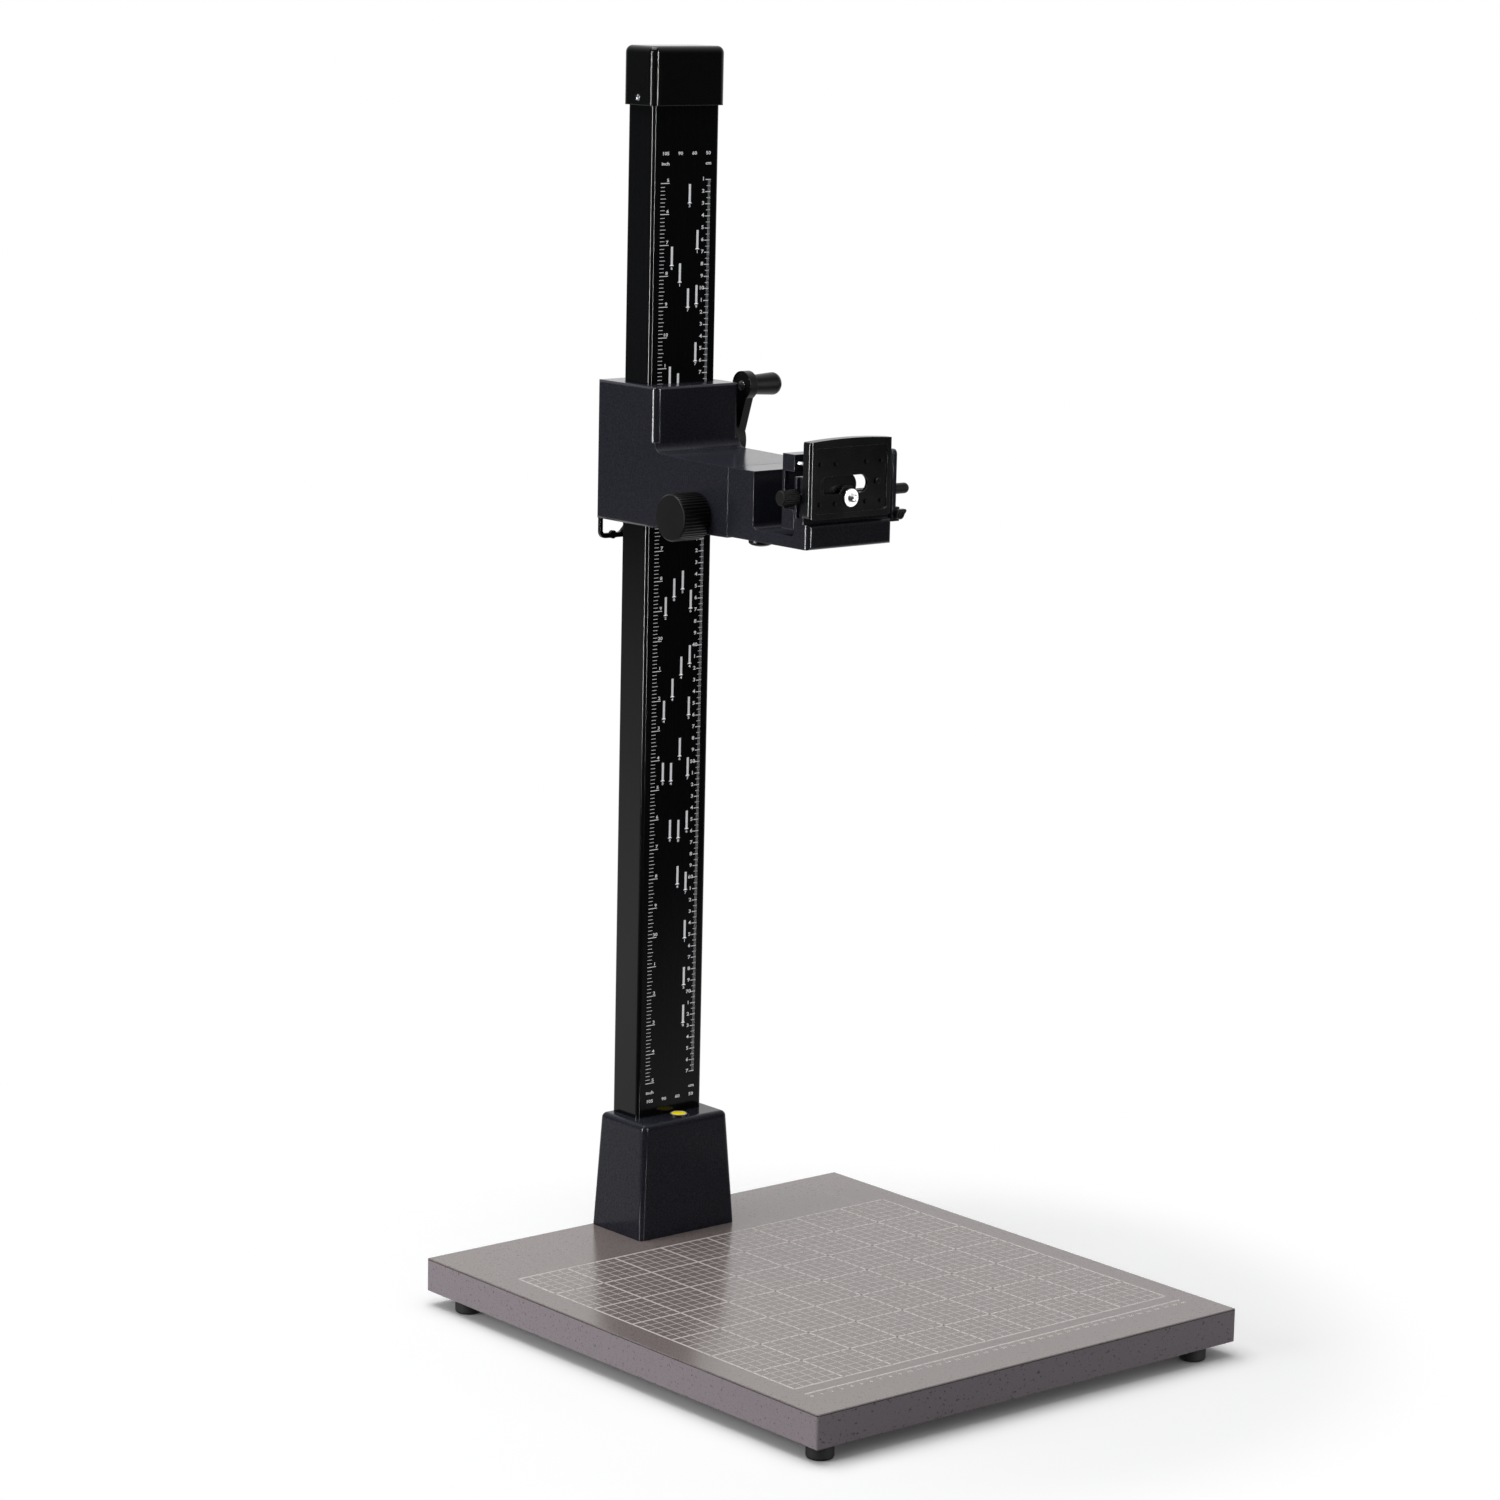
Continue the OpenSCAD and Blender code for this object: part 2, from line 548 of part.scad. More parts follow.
// Band hook: a bent strap from the carriage's corner to the band's end in the column's slit
module band_hook() color([0.1, 0.1, 0.1]) difference() {
  union() {
    block([-car_in - 2.7, -car_in + 1.4], [box_back - 6, box_back - 2], [box_low + 0.1, box_low + 15.5]);
    along_y(box_back - 2 - hook_t, box_back - 2) strap_outline();
    along_y(box_back - 6, box_back - 2) polygon([
      [-14, hook_low + 6], [-9, hook_low + 2.5], [5, hook_low + 2.5], [5, hook_low + 13], [-14, hook_low + 12.3]]);
    block([-5, 5], [band_y - 2.3, box_back - 5], [hook_low + 2.5, hook_low + 13]);
  }
  block([-10, 10], [band_y - 0.2, band_y + 0.6], [band_low - gap, box_low]);
  for (z = hook_screw_z()) rod_y(0, z, 1.2 + snug, band_y + 0.1, box_back);
}

function hook_screw_z() = [box_low - 12, box_low - 7.2];

module strap_outline() {
  run_top = hook_low + 4.2;
  translate([hook_x, hook_low + 6]) square([hook_t, box_low + 0.2 - hook_low - 6]);
  difference() {
    union() {
      translate([hook_x + 6, hook_low + 6]) circle(r = 6);
      translate([hook_x + 6, hook_low]) square([19, run_top - hook_low]);
      translate([hook_x + hook_t, run_top]) square([2.5, 2.5]);
    }
    translate([hook_x + hook_t + 2.5, run_top + 2.5]) circle(r = 2.5);
    translate([hook_x + hook_t, run_top + 2.5]) square([9, 9]);
    translate([hook_x + hook_t + 2.5, run_top]) square([9, 9]);
  }
  translate([-28.3, run_top - 1.6]) circle(r = 3.5);
  polygon([[-24, hook_low], [-22, run_top], [-20.2, run_top + 0.7], [-13, hook_low + 12.3], [-12, hook_low + 12.3],
    [-12, hook_low + 4], [-19, hook_low + 1]]);
}

module hook_screws() color("silver") for (z = hook_screw_z()) {
  rod_y(0, z, 1.2, band_y + 0.45, box_back - 1.9);
  rod_y(0, z, 2.1, box_back - 2, box_back - 0.4);
}

// Arm lock and index plunger
module clamp_collar() color("gray") difference() {
  union() {
    rod_y(0, axis_z, tilt_r + 6.5, lock_y - 6.5, lock_y + 6.5);
    block([-10, 10], [lock_y - 6.5, lock_y + 6.5], [lock_z - 7, axis_z - 4]);
    block([-9, 9], [lock_y - 6.5, lock_y + 6.5], [axis_z + 4, arm_top - 4.6]);
    block([-30, 30], [lock_y - 6.5, lock_y + 6.5], [arm_top - 9, arm_top - 4.6]);
  }
  rod_y(0, axis_z, tilt_r + run, lock_y - 7, lock_y + 7);
  block([-1, 1], [lock_y - 7, lock_y + 7], [lock_z - 8, axis_z]);
  rod_x(lock_y, lock_z, 3 + run, -11, 11);
  for (s = [-1, 1]) rod_z(s * 24, lock_y, 2 + gap, arm_top - 10, arm_top);
}

module collar_screws() color("silver") for (s = [-1, 1]) {
  rod_z(s * 24, lock_y, 3.6, arm_top - 12, arm_top - 9.05);
  rod_z(s * 24, lock_y, 2, arm_top - 9.1, arm_top - 2);
}

module lock_screw() color("silver") rod_x(lock_y, lock_z, 3, -car_hw - lock_l + 8, 12);

module lock_knob() color([0.1, 0.1, 0.1]) difference() {
  fluted_x(lock_y, lock_z, lock_r, -car_hw - lock_l - gap, -car_hw - gap, 42, 1.1, 0.65, 1.2);
  rod_x(lock_y, lock_z, 3 + snug, -car_hw - lock_l + 7.9, -car_hw);
}

module plunger_bush() color("gray") difference() {
  union() {
    rod_z(0, plunge_y, 7.5, axis_z - 30, axis_z - 21);
    rod_z(0, plunge_y, 9, axis_z - 31.6, axis_z - arm_down - 0.9);
  }
  rod_z(0, plunge_y, 3 + run, axis_z - 33, axis_z - 20);
}

module index_plunger() color([0.12, 0.12, 0.12]) {
  translate([0, plunge_y, plunge_low]) rotate_extrude() polygon(concat(
    [[0, 0]], [for (a = [70:-14:0]) [plunger_r * cos(a), 3.4 - 3.4 * sin(a)]],
    [[plunger_r, 5.4], [plunger_r - 1, 6.4], [0, 6.4]]));
  rod_z(0, plunge_y, 3, plunge_low + 6, axis_z - tilt_r - 0.4);
  rod_z(0, plunge_y, 5, axis_z - 14.4 - plunge_lift, axis_z - 12.8 - plunge_lift);
}

module plunger_spring() color("silver") translate([0, plunge_y, spring_seat])
  coil(3.5, 4.7, 6.3 - plunge_lift, 3);

// Tilting bracket
module tilt_shaft() color("silver") difference() {
  rod_y(0, axis_z, tilt_r, block_y + 6, tail_y + tail_t + gap);
  for (a = [-90, 0, 90]) translate([0, plunge_y, axis_z]) rotate([0, a, 0])
    translate([0, 0, -tilt_r - 1]) cylinder(r = 3 + gap, h = 4.2);
  rod_z(0, pin_y, 2 + snug, axis_z - 30, axis_z + 30);
  rod_y(0, axis_z, 3 + snug, tail_y - 14, tail_y + tail_t + 1);
}

module shaft_pin() color("silver") rod_z(0, pin_y, 2, axis_z - 20, axis_z + tilt_r + 3);

module shaft_screw() color("silver") {
  rod_y(0, axis_z, 3, tail_y - 12, tail_y + tail_t + gap);
  rod_y(0, axis_z, tilt_r + 3, tail_y + tail_t + gap + 0.02, tail_y + tail_t + 2);
  rod_y(0, axis_z, 5, tail_y + tail_t + 1.9, tail_y + tail_t + 5);
  rod_y(0, axis_z, 3, tail_y + tail_t, tail_y + tail_t + 1);
}

module bracket() color([0.2, 0.2, 0.22]) difference() {
  intersection() {
   rblock([-car_hw, car_hw], [br_front, br_back + 10], [floor_low - 1, arm_top + 1], 4.5);
   along_x(-car_hw, car_hw) difference() {
    union() {
      translate([block_y, floor_low]) square([br_back - block_y, arm_top - floor_low]);
      translate([br_front + 2, floor_low]) square([block_y - br_front, floor_top - floor_low]);
      translate([br_front + 2, floor_low]) square([head_y + wall_t - br_front - 2, lip_top - floor_low]);
      translate([head_y, floor_low]) square([wall_t, wall_top - floor_low]);
      translate([br_front, floor_low + 2.7]) square([5, lip_top - floor_low - 5.4]);
      for (z = [floor_low + 2.7, lip_top - 2.7]) translate([br_front + 2.7, z]) circle(r = 2.7);
      translate([block_y - 5, floor_top - 1]) square([6, 6]);
      translate([head_y + wall_t - 1, floor_top - 1]) square([4, 4]);
    }
    translate([block_y - 5, floor_top + 5]) circle(r = 5);
    translate([head_y + wall_t + 3, floor_top + 3]) circle(r = 3);
   }
  }
  // window behind the plate, T-slots, feed screw bores and the grooves in the wall's ends
  block([-38, 38], [head_y - 1, head_y + wall_t + 1], [axis_z + 5.5, axis_z + 35]);
  for (z = track_z) for (s = [-1, 1]) {
    x = s * 24;
    block([x - side_travel, x + side_travel], [head_y - 1, head_y + wall_t + 1], [z - 2.2, z + 2.2]);
    block([x - side_travel, x + side_travel], [head_y + 5.5, head_y + wall_t + 1], [z - 3.9, z + 3.9]);
    for (e = [-side_travel, side_travel]) {
      rod_y(x + e, z, 2.2, head_y - 1, head_y + wall_t + 1);
      rod_y(x + e, z, 3.9, head_y + 5.5, head_y + wall_t + 1);
    }
  }
  rod_x(feed_y, feed_z, 3 + run, -car_hw - 1, car_hw + 1);
  for (s = [-1, 1]) block([s * car_hw - 3, s * car_hw + 3], [head_y + 3, head_y + 8], [axis_z - 3, axis_z + 36]);
  for (x = [-car_hw + 4, car_hw - 4]) for (z = [axis_z - 6, wall_top - 6.7]) rod_y(x, z, 1.5 + snug, head_y + 3.5, head_y + wall_t + 1);
  rod_y(0, axis_z, tilt_r + snug, block_y + 5.9, br_back + 1);
  rod_z(0, pin_y, 2 + snug, floor_low - 1, axis_z + tilt_r + 3.5);
}

module slide_rail() color([0.24, 0.24, 0.26]) difference() {
  union() {
    block([-car_hw, end_x + end_t], [rail_y, rail_back], [wall_top - 13.2, wall_top + 0.3]);
    block([-car_hw, end_x + end_t], [rail_y, rail_back], [axis_z - 13, axis_z + 3]);
    block([-car_hw, -car_hw + 4], [rail_back - 3, rail_back], [axis_z, wall_top - 10.7]);
    along_x(end_x, end_x + end_t) {
      translate([head_y, axis_z - 1.5]) square([rail_back - head_y, wall_top - axis_z - 2.2]);
      translate([head_y + 4, wall_top - 5]) square([rail_back - head_y - 4, 5.3]);
      translate([head_y + 4, wall_top - 3.7]) circle(r = 4);
    }
    block([end_x, end_x + 8], [head_y, rail_y + 1], [axis_z - 11.5, axis_z]);
  }
  rod_x(feed_y, feed_z, 3 + run, end_x - 1, end_x + end_t + 1);
  block([end_x - 1, end_x + 9], [feed_y - 0.6, feed_y + 0.6], [axis_z - 12, feed_z]);
  rod_y(lever_x, lever_z, 1.25 + run, head_y - 2, rail_y + 5);
  for (x = [-car_hw + 4, car_hw - 4]) for (z = [axis_z - 6, wall_top - 6.7]) {
    rod_y(x, z, 1.5 + gap, rail_y - 1, rail_back + 1);
    rod_y(x, z, 3.2, rail_y + 5, rail_back + 1);
  }
}

module rail_screws() color("silver") for (x = [-car_hw + 4, car_hw - 4]) for (z = [axis_z - 6, wall_top - 6.7]) {
  rod_y(x, z, 1.5, head_y + 4, rail_y + 5.1);
  rod_y(x, z, 2.9, rail_y + 5.05, rail_y + 8);
}

// Cross feed
module feed_screw() color("silver")
  rod_x(feed_y, feed_z, 3, -car_hw - 12, end_x + end_t + 12);

// fluted knob on the left end of the feed screw and a small domed one on the right end
module feed_knob() color([0.1, 0.1, 0.1]) difference() {
  union() {
    fluted_x(feed_y, feed_z, feed_r, -car_hw - 1.3 - feed_l, -car_hw - 1.3, 20, 0.8, 0.45, 0.8);
    translate([end_x + end_t + gap, feed_y, feed_z]) rotate([90, 0, 90]) rotate_extrude() polygon(concat(
      [[0, 0], [3.8, 0], [4.4, 0.6]], [for (a = [0:15:75]) [4.4 * cos(a), 13.4 + 4 * sin(a)]], [[0, 17.4]]));
  }
  rod_x(feed_y, feed_z, 3 + snug, -car_hw - 12.1, -car_hw);
  rod_x(feed_y, feed_z, 3 + snug, end_x + end_t, end_x + end_t + 12.1);
}

module clamp_lever() color([0.12, 0.12, 0.12]) difference() {
  union() {
    rod_y(lever_x, lever_z, 4, head_y - 5, head_y - gap);
    along_y(head_y - 4.8, head_y - 0.7) polygon([
      [lever_x, lever_z + 4], [lever_x + 5.4, lever_z + 4], [lever_x + 6.4, lever_z + 3.2],
      [lever_x + 6.2, lever_z + 1.8], [lever_x + 1.6, lever_z - 3.66]]);
  }
  rod_y(lever_x, lever_z, 1.25 + snug, head_y - 6, head_y);
}

module lever_screw() color("silver") {
  rod_y(lever_x, lever_z, 1.25, head_y - 5.1, head_y + 10);
  rod_y(lever_x, lever_z, 2.6, head_y - 6.6, head_y - 5.02);
}

// Camera plate; what rides on it is drawn about the plate's middle
module on_plate() translate([plate_x, 0, 0]) children();

module camera_plate() color([0.12, 0.12, 0.13]) on_plate() difference() {
  intersection() {
    along_y(plate_front, plate_y) union() {
      translate([-plate_hw, plate_low + 4]) square([plate_w, plate_h - 8]);
      translate([-plate_hw + 4, plate_low]) square([plate_w - 8, plate_h]);
      for (x = [-plate_hw + 4, plate_hw - 4]) for (z = [plate_low + 4, plate_top - 4]) translate([x, z]) circle(r = 4);
    }
    rod_y(0, plate_top - 500, 500, plate_front - 1, plate_y + 1, $fn = 360);
    rblock([-plate_hw, plate_hw], [plate_front, plate_y + 9], [plate_low - 1, plate_top + 1], 2.5);
  }
  // recess of the face, pocket behind it, slot with its upright leg
  rblock_y([-plate_hw + 5.6, plate_hw - 5.6], [plate_low + 4.5, plate_top - 6.9], plate_front - 1, plate_front + 1, 3);
  difference() {
    block([-36, 36], [plate_front + 3.8, plate_y + 1], [axis_z + 2.2, axis_z + 35.5]);
    rod_y(pin_x, pin_z, 4.6, plate_front + 3, plate_y + 2);
  }
  rblock_y(slot_x, [slot_z - slot_r, slot_z + slot_r], plate_front - 1, plate_front + 5, slot_r - 0.05);
  leg = [screw_z - 3.3, screw_z + lift_travel + 3.3];
  rblock_y([-3.3, 3.3], leg, plate_front - 1, plate_front + 5, 3.2);
  // housing of the anti-twist pin, thread holes of the bolts, seats of the nubs, nut screws
  rod_y(pin_x, pin_z, 2.4 + run, plate_front - 1, plate_y + 1);
  rod_y(pin_x, pin_z, 3.3, plate_front + 2.2, plate_y + 1);
  for (p = plate_bolt_at()) rod_y(p[0], p[1], 1.5 + snug, plate_y - 6, plate_y + 1);
  for (p = nub_at()) rod_y(p[0], p[1], 1.7 + snug, plate_front - 1, plate_front + 2.2);
}

// block along Y whose edges along Y are rounded to r
module rblock_y(x, z, y0, y1, r) {
  block([x[0] + r, x[1] - r], [y0, y1], z);
  block(x, [y0, y1], [z[0] + r, z[1] - r]);
  for (px = [x[0] + r, x[1] - r]) for (pz = [z[0] + r, z[1] - r]) rod_y(px, pz, r, y0, y1);
}

function plate_bolt_at() = [for (x = [-24, 24]) for (z = track_z) [x, z]];

function nub_at() = [for (x = [-32, -16, 16, 32]) for (z = [axis_z + 8.3, axis_z + 40.4]) [x, z]];

// nut of the feed screw on its carrier, whose tongue with a round end lies behind the slot
module feed_nut() color([0.1, 0.1, 0.1]) on_plate() difference() {
  union() {
    block([-34, -26], [plate_front + 3.85, plate_y + 0.1], [axis_z + 6.2, axis_z + 34.8]);
    block([-30.8, -26], [plate_y, feed_y + 4.3], [feed_z - 7, feed_z + 7]);
    block([-27, 2.9], [plate_y - 0.5, plate_y], [nut_z - 8, nut_z + 8]);
    rod_y(2.9, nut_z, 9.8, plate_y - 0.5, plate_y);
  }
  rod_x(feed_y, feed_z, 3 + run, -35, -25);
}

module plate_bolts() color("silver") on_plate() for (p = plate_bolt_at()) {
  rod_y(p[0], p[1], 1.5, plate_y - 5.5, plate_y + 0.1);
  rod_y(p[0], p[1], 2, plate_y + 0.05, head_y + 6);
  rod_y(p[0], p[1], 3.6, head_y + 5.8, head_y + 8.6);
}

module plate_nubs() color("black") on_plate() for (p = nub_at())
  rod_y(p[0], p[1], 1.7, plate_front - 0.4, plate_front + 2.1);

module camera_washer() color("silver") on_plate() difference() {
  rod_y(0, screw_z, 7.3, plate_front - 0.7, plate_front + 0.95);
  rod_y(0, screw_z, 3 + run, plate_front - 2, plate_front + 2);
}

module camera_screw() color("silver") on_plate() {
  rod_y(0, screw_z, 3, plate_front - 0.75, plate_front + 7);
  rod_y(0, screw_z, stud_d / 2, plate_front - 6.2, plate_front - 0.72);
}

module camera_wheel() color([0.1, 0.1, 0.1]) on_plate() difference() {
  rod_y(0, screw_z, wheel_r, plate_front + 3.9, plate_front + 8.2);
  rod_y(0, screw_z, 3 + snug, plate_front + 3, plate_front + 7.1);
  for (i = [0:23]) rod_y((wheel_r + 0.5) * cos(15 * i), screw_z + (wheel_r + 0.5) * sin(15 * i), 0.9,
    plate_front + 3, plate_front + 9);
}

module anti_twist_pin() color("silver") on_plate() {
  rod_y(pin_x, pin_z, 2.4, plate_front - 1.7, plate_front + 2.5);
  rod_y(pin_x, pin_z, 3.2, plate_front + 2.3, plate_front + 3.3);
  rod_y(pin_x, pin_z, 1.2, plate_front + 3.2, plate_y - 0.4);
}

module pin_spring() color("silver") on_plate()
  translate([pin_x, plate_front + 3.35, pin_z]) rotate([-90, 0, 0]) coil(1.7, 2.7, 4, 4);

module pin_plug() color("gray") on_plate() difference() {
  rod_y(pin_x, pin_z, 3.3 - snug, plate_front + 7.4, plate_y);
  rod_y(pin_x, pin_z, 1.2 + run, plate_front + 7, plate_y + 1);
}

baseboard();
rubber_feet();
foot_screws();
column_shoe();
shoe_bolts();
column();
column_bolts();
level_housing();
level_vial();
top_cap();
cap_screws();
drum_axle();
spring_drum();
counterbalance_band();
carriage_body();
guide_cover();
cover_screws();
guide_axles();
guide_roller_low();
guide_roller_high();
front_axle();
front_roller();
drive_shaft();
drive_gear();
drive_roller();
crank_arm();
crank_pinion();
crank_screw();
grip_pin();
crank_grip();
band_hook();
hook_screws();
clamp_collar();
collar_screws();
lock_screw();
lock_knob();
plunger_bush();
index_plunger();
plunger_spring();
tilt_shaft();
shaft_pin();
shaft_screw();
bracket();
slide_rail();
rail_screws();
feed_screw();
feed_knob();
clamp_lever();
lever_screw();
camera_plate();
feed_nut();
plate_bolts();
plate_nubs();
camera_washer();
camera_screw();
camera_wheel();
anti_twist_pin();
pin_spring();
pin_plug();
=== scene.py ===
"""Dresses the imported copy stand: finishes, printed scales, small parts, camera, floor and light."""
import json
import logging
import math
from dataclasses import dataclass
from enum import Enum
from typing import Iterable, Sequence

import bmesh
import bpy
from mathutils import Matrix, Vector


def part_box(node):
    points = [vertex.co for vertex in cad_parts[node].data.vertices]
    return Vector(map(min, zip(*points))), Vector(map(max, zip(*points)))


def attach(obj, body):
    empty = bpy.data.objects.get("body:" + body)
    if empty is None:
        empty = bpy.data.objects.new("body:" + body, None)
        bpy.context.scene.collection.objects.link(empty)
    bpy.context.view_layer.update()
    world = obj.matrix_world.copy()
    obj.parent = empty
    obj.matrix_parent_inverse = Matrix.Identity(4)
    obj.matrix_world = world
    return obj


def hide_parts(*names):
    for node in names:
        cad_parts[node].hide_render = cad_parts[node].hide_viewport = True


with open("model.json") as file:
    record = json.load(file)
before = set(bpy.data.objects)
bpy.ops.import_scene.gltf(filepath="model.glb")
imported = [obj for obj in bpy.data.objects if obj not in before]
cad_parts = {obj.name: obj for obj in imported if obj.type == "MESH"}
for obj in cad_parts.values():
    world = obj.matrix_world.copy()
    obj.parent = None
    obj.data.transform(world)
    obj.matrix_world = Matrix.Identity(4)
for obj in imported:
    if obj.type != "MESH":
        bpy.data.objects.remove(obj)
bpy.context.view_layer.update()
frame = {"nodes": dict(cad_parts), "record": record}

LOG = logging.getLogger("copy_stand")
MM = 0.001
SMOOTH_ANGLE = math.radians(35)
SRGB_KNEE, SRGB_SLOPE, SRGB_OFFSET, SRGB_GAMMA = 0.04045, 12.92, 0.055, 2.4
Point = tuple[float, float, float]
Colour = tuple[float, float, float]
Socket = bpy.types.NodeSocket
Mesh = bmesh.types.BMesh


def srgb(red: int, green: int, blue: int) -> Colour:
    """Linear colour of an 8-bit screen colour.

    Args:
        red: Red, 0 to 255.
        green: Green, 0 to 255.
        blue: Blue, 0 to 255.

    Returns:
        The three linear values, 0 to 1.
    """
    def linear(value: int) -> float:
        """One channel from the screen curve to linear light."""
        v = value / 255
        return v / SRGB_SLOPE if v <= SRGB_KNEE else ((v + SRGB_OFFSET) / (1 + SRGB_OFFSET)) ** SRGB_GAMMA
    return (linear(red), linear(green), linear(blue))


class Grain(Enum):
    """How the fine texture of a finish lies."""
    EVEN = "even"
    DRAWN_UP = "drawn_up"
    TURNED = "turned"


class Graph:
    """The node tree of a material or a world, with short ways to add and join nodes."""

    NOISE_ROUGHNESS = 0.6
    EDGE_SAMPLES = 6
    MIX_FACTOR, MIX_FIRST, MIX_SECOND, MIX_RESULT = 0, 6, 7, 2

    def __init__(self, owner: bpy.types.ID) -> None:
        """Empties the owner's node tree.

        Args:
            owner: The new material or world.
        """
        self.owner = owner
        owner.use_nodes = True
        self.tree = owner.node_tree
        self.tree.nodes.clear()
        kind = "ShaderNodeOutputWorld" if isinstance(owner, bpy.types.World) else "ShaderNodeOutputMaterial"
        self.output = self.node(kind)

    def node(self, kind: str, inputs: dict[str, object] | None = None, **props: object) -> bpy.types.Node:
        """Adds a node.

        Args:
            kind: Blender's node type.
            inputs: Values or sockets by input name; a socket is linked.
            props: Properties of the node itself.

        Returns:
            The new node.
        """
        made = self.tree.nodes.new(kind)
        for key, value in props.items():
            setattr(made, key, value)
        for key, value in (inputs or {}).items():
            self.feed(made.inputs[key], value)
        return made

    def feed(self, socket: Socket, value: object) -> None:
        """Sets an input to a value, or links it where the value is a socket.

        Args:
            socket: The input.
            value: A number, a tuple or an output socket.
        """
        if isinstance(value, Socket):
            self.tree.links.new(value, socket)
        elif isinstance(value, tuple) and len(value) == 3 and len(getattr(socket, "default_value", ())) == 4:
            socket.default_value = (*value, 1.0)
        else:
            socket.default_value = value

    def coordinates(self, stretch: Point = (1, 1, 1)) -> Socket:
        """Object coordinates in metres, scaled along the axes.

        Args:
            stretch: Factors along X, Y and Z.

        Returns:
            The vector socket.
        """
        place = self.node("ShaderNodeTexCoord")
        scaled = self.node("ShaderNodeMapping", {"Vector": place.outputs["Object"], "Scale": stretch})
        return scaled.outputs["Vector"]

    def noise(self, scale: float, detail: float, stretch: Point = (1, 1, 1)) -> Socket:
        """Fractal noise over the object.

        Args:
            scale: Cells per metre.
            detail: Octaves.
            stretch: Factors along X, Y and Z.

        Returns:
            The noise value, 0 to 1.
        """
        made = self.node("ShaderNodeTexNoise", {
            "Vector": self.coordinates(stretch), "Scale": scale, "Detail": detail,
            "Roughness": self.NOISE_ROUGHNESS})
        return made.outputs["Fac"]

    def span(self, value: Socket, low: float, high: float, to: tuple[float, float]) -> Socket:
        """Maps a value from one span to another.

        Args:
            value: The value.
            low: Start of its span.
            high: End of its span.
            to: The new start and end.

        Returns:
            The mapped value.
        """
        made = self.node("ShaderNodeMapRange", {
            "Value": value, "From Min": low, "From Max": high, "To Min": to[0], "To Max": to[1]})
        return made.outputs["Result"]

    def mix(self, factor: object, first: object, second: object) -> Socket:
        """Mixes two colours.

        Args:
            factor: Share of the second colour.
            first: The colour at 0.
            second: The colour at 1.

        Returns:
            The mixed colour.
        """
        made = self.node("ShaderNodeMix", data_type="RGBA")
        self.feed(made.inputs[self.MIX_FACTOR], factor)
        self.feed(made.inputs[self.MIX_FIRST], first)
        self.feed(made.inputs[self.MIX_SECOND], second)
        return made.outputs[self.MIX_RESULT]

    def times(self, first: object, second: object) -> Socket:
        """Multiplies two numbers or sockets."""
        return self.node("ShaderNodeMath", {0: first, 1: second}, operation="MULTIPLY").outputs[0]

    def glowing(self, strength: object) -> Socket:
        """A white shader that only gives light, as bright as strength says."""
        return self.node("ShaderNodeEmission", {"Color": (1, 1, 1), "Strength": strength}).outputs[0]

    def either(self, share: object, first: Socket, second: Socket) -> Socket:
        """Mixes two shaders; share is that of the second one."""
        return self.node("ShaderNodeMixShader", {0: share, 1: first, 2: second}).outputs[0]

    def surface(self, shader: Socket) -> bpy.types.ID:
        """Ends the tree with a shader and gives back the material or world."""
        self.feed(self.output.inputs["Surface"], shader)
        return self.owner

    def principled(self, inputs: dict[str, object]) -> bpy.types.Material:
        """Ends the tree with Blender's general surface shader, with its inputs by name."""
        return self.surface(self.node("ShaderNodeBsdfPrincipled", inputs).outputs["BSDF"])

    def bump(self, height: Socket, depth: float, strength: float, edge: float) -> Socket:
        """A bumped normal with softly broken edges.

        Args:
            height: Height from 0 to 1.
            depth: Depth of the relief in metres.
            strength: How much of it shows.
            edge: Radius of the broken edges in metres, 0 for none.

        Returns:
            The normal.
        """
        made = self.node("ShaderNodeBump", {"Height": height, "Distance": depth, "Strength": strength})
        if edge:
            soft = self.node("ShaderNodeBevel", {"Radius": edge}, samples=self.EDGE_SAMPLES)
            self.feed(made.inputs["Normal"], soft.outputs["Normal"])
        return made.outputs["Normal"]


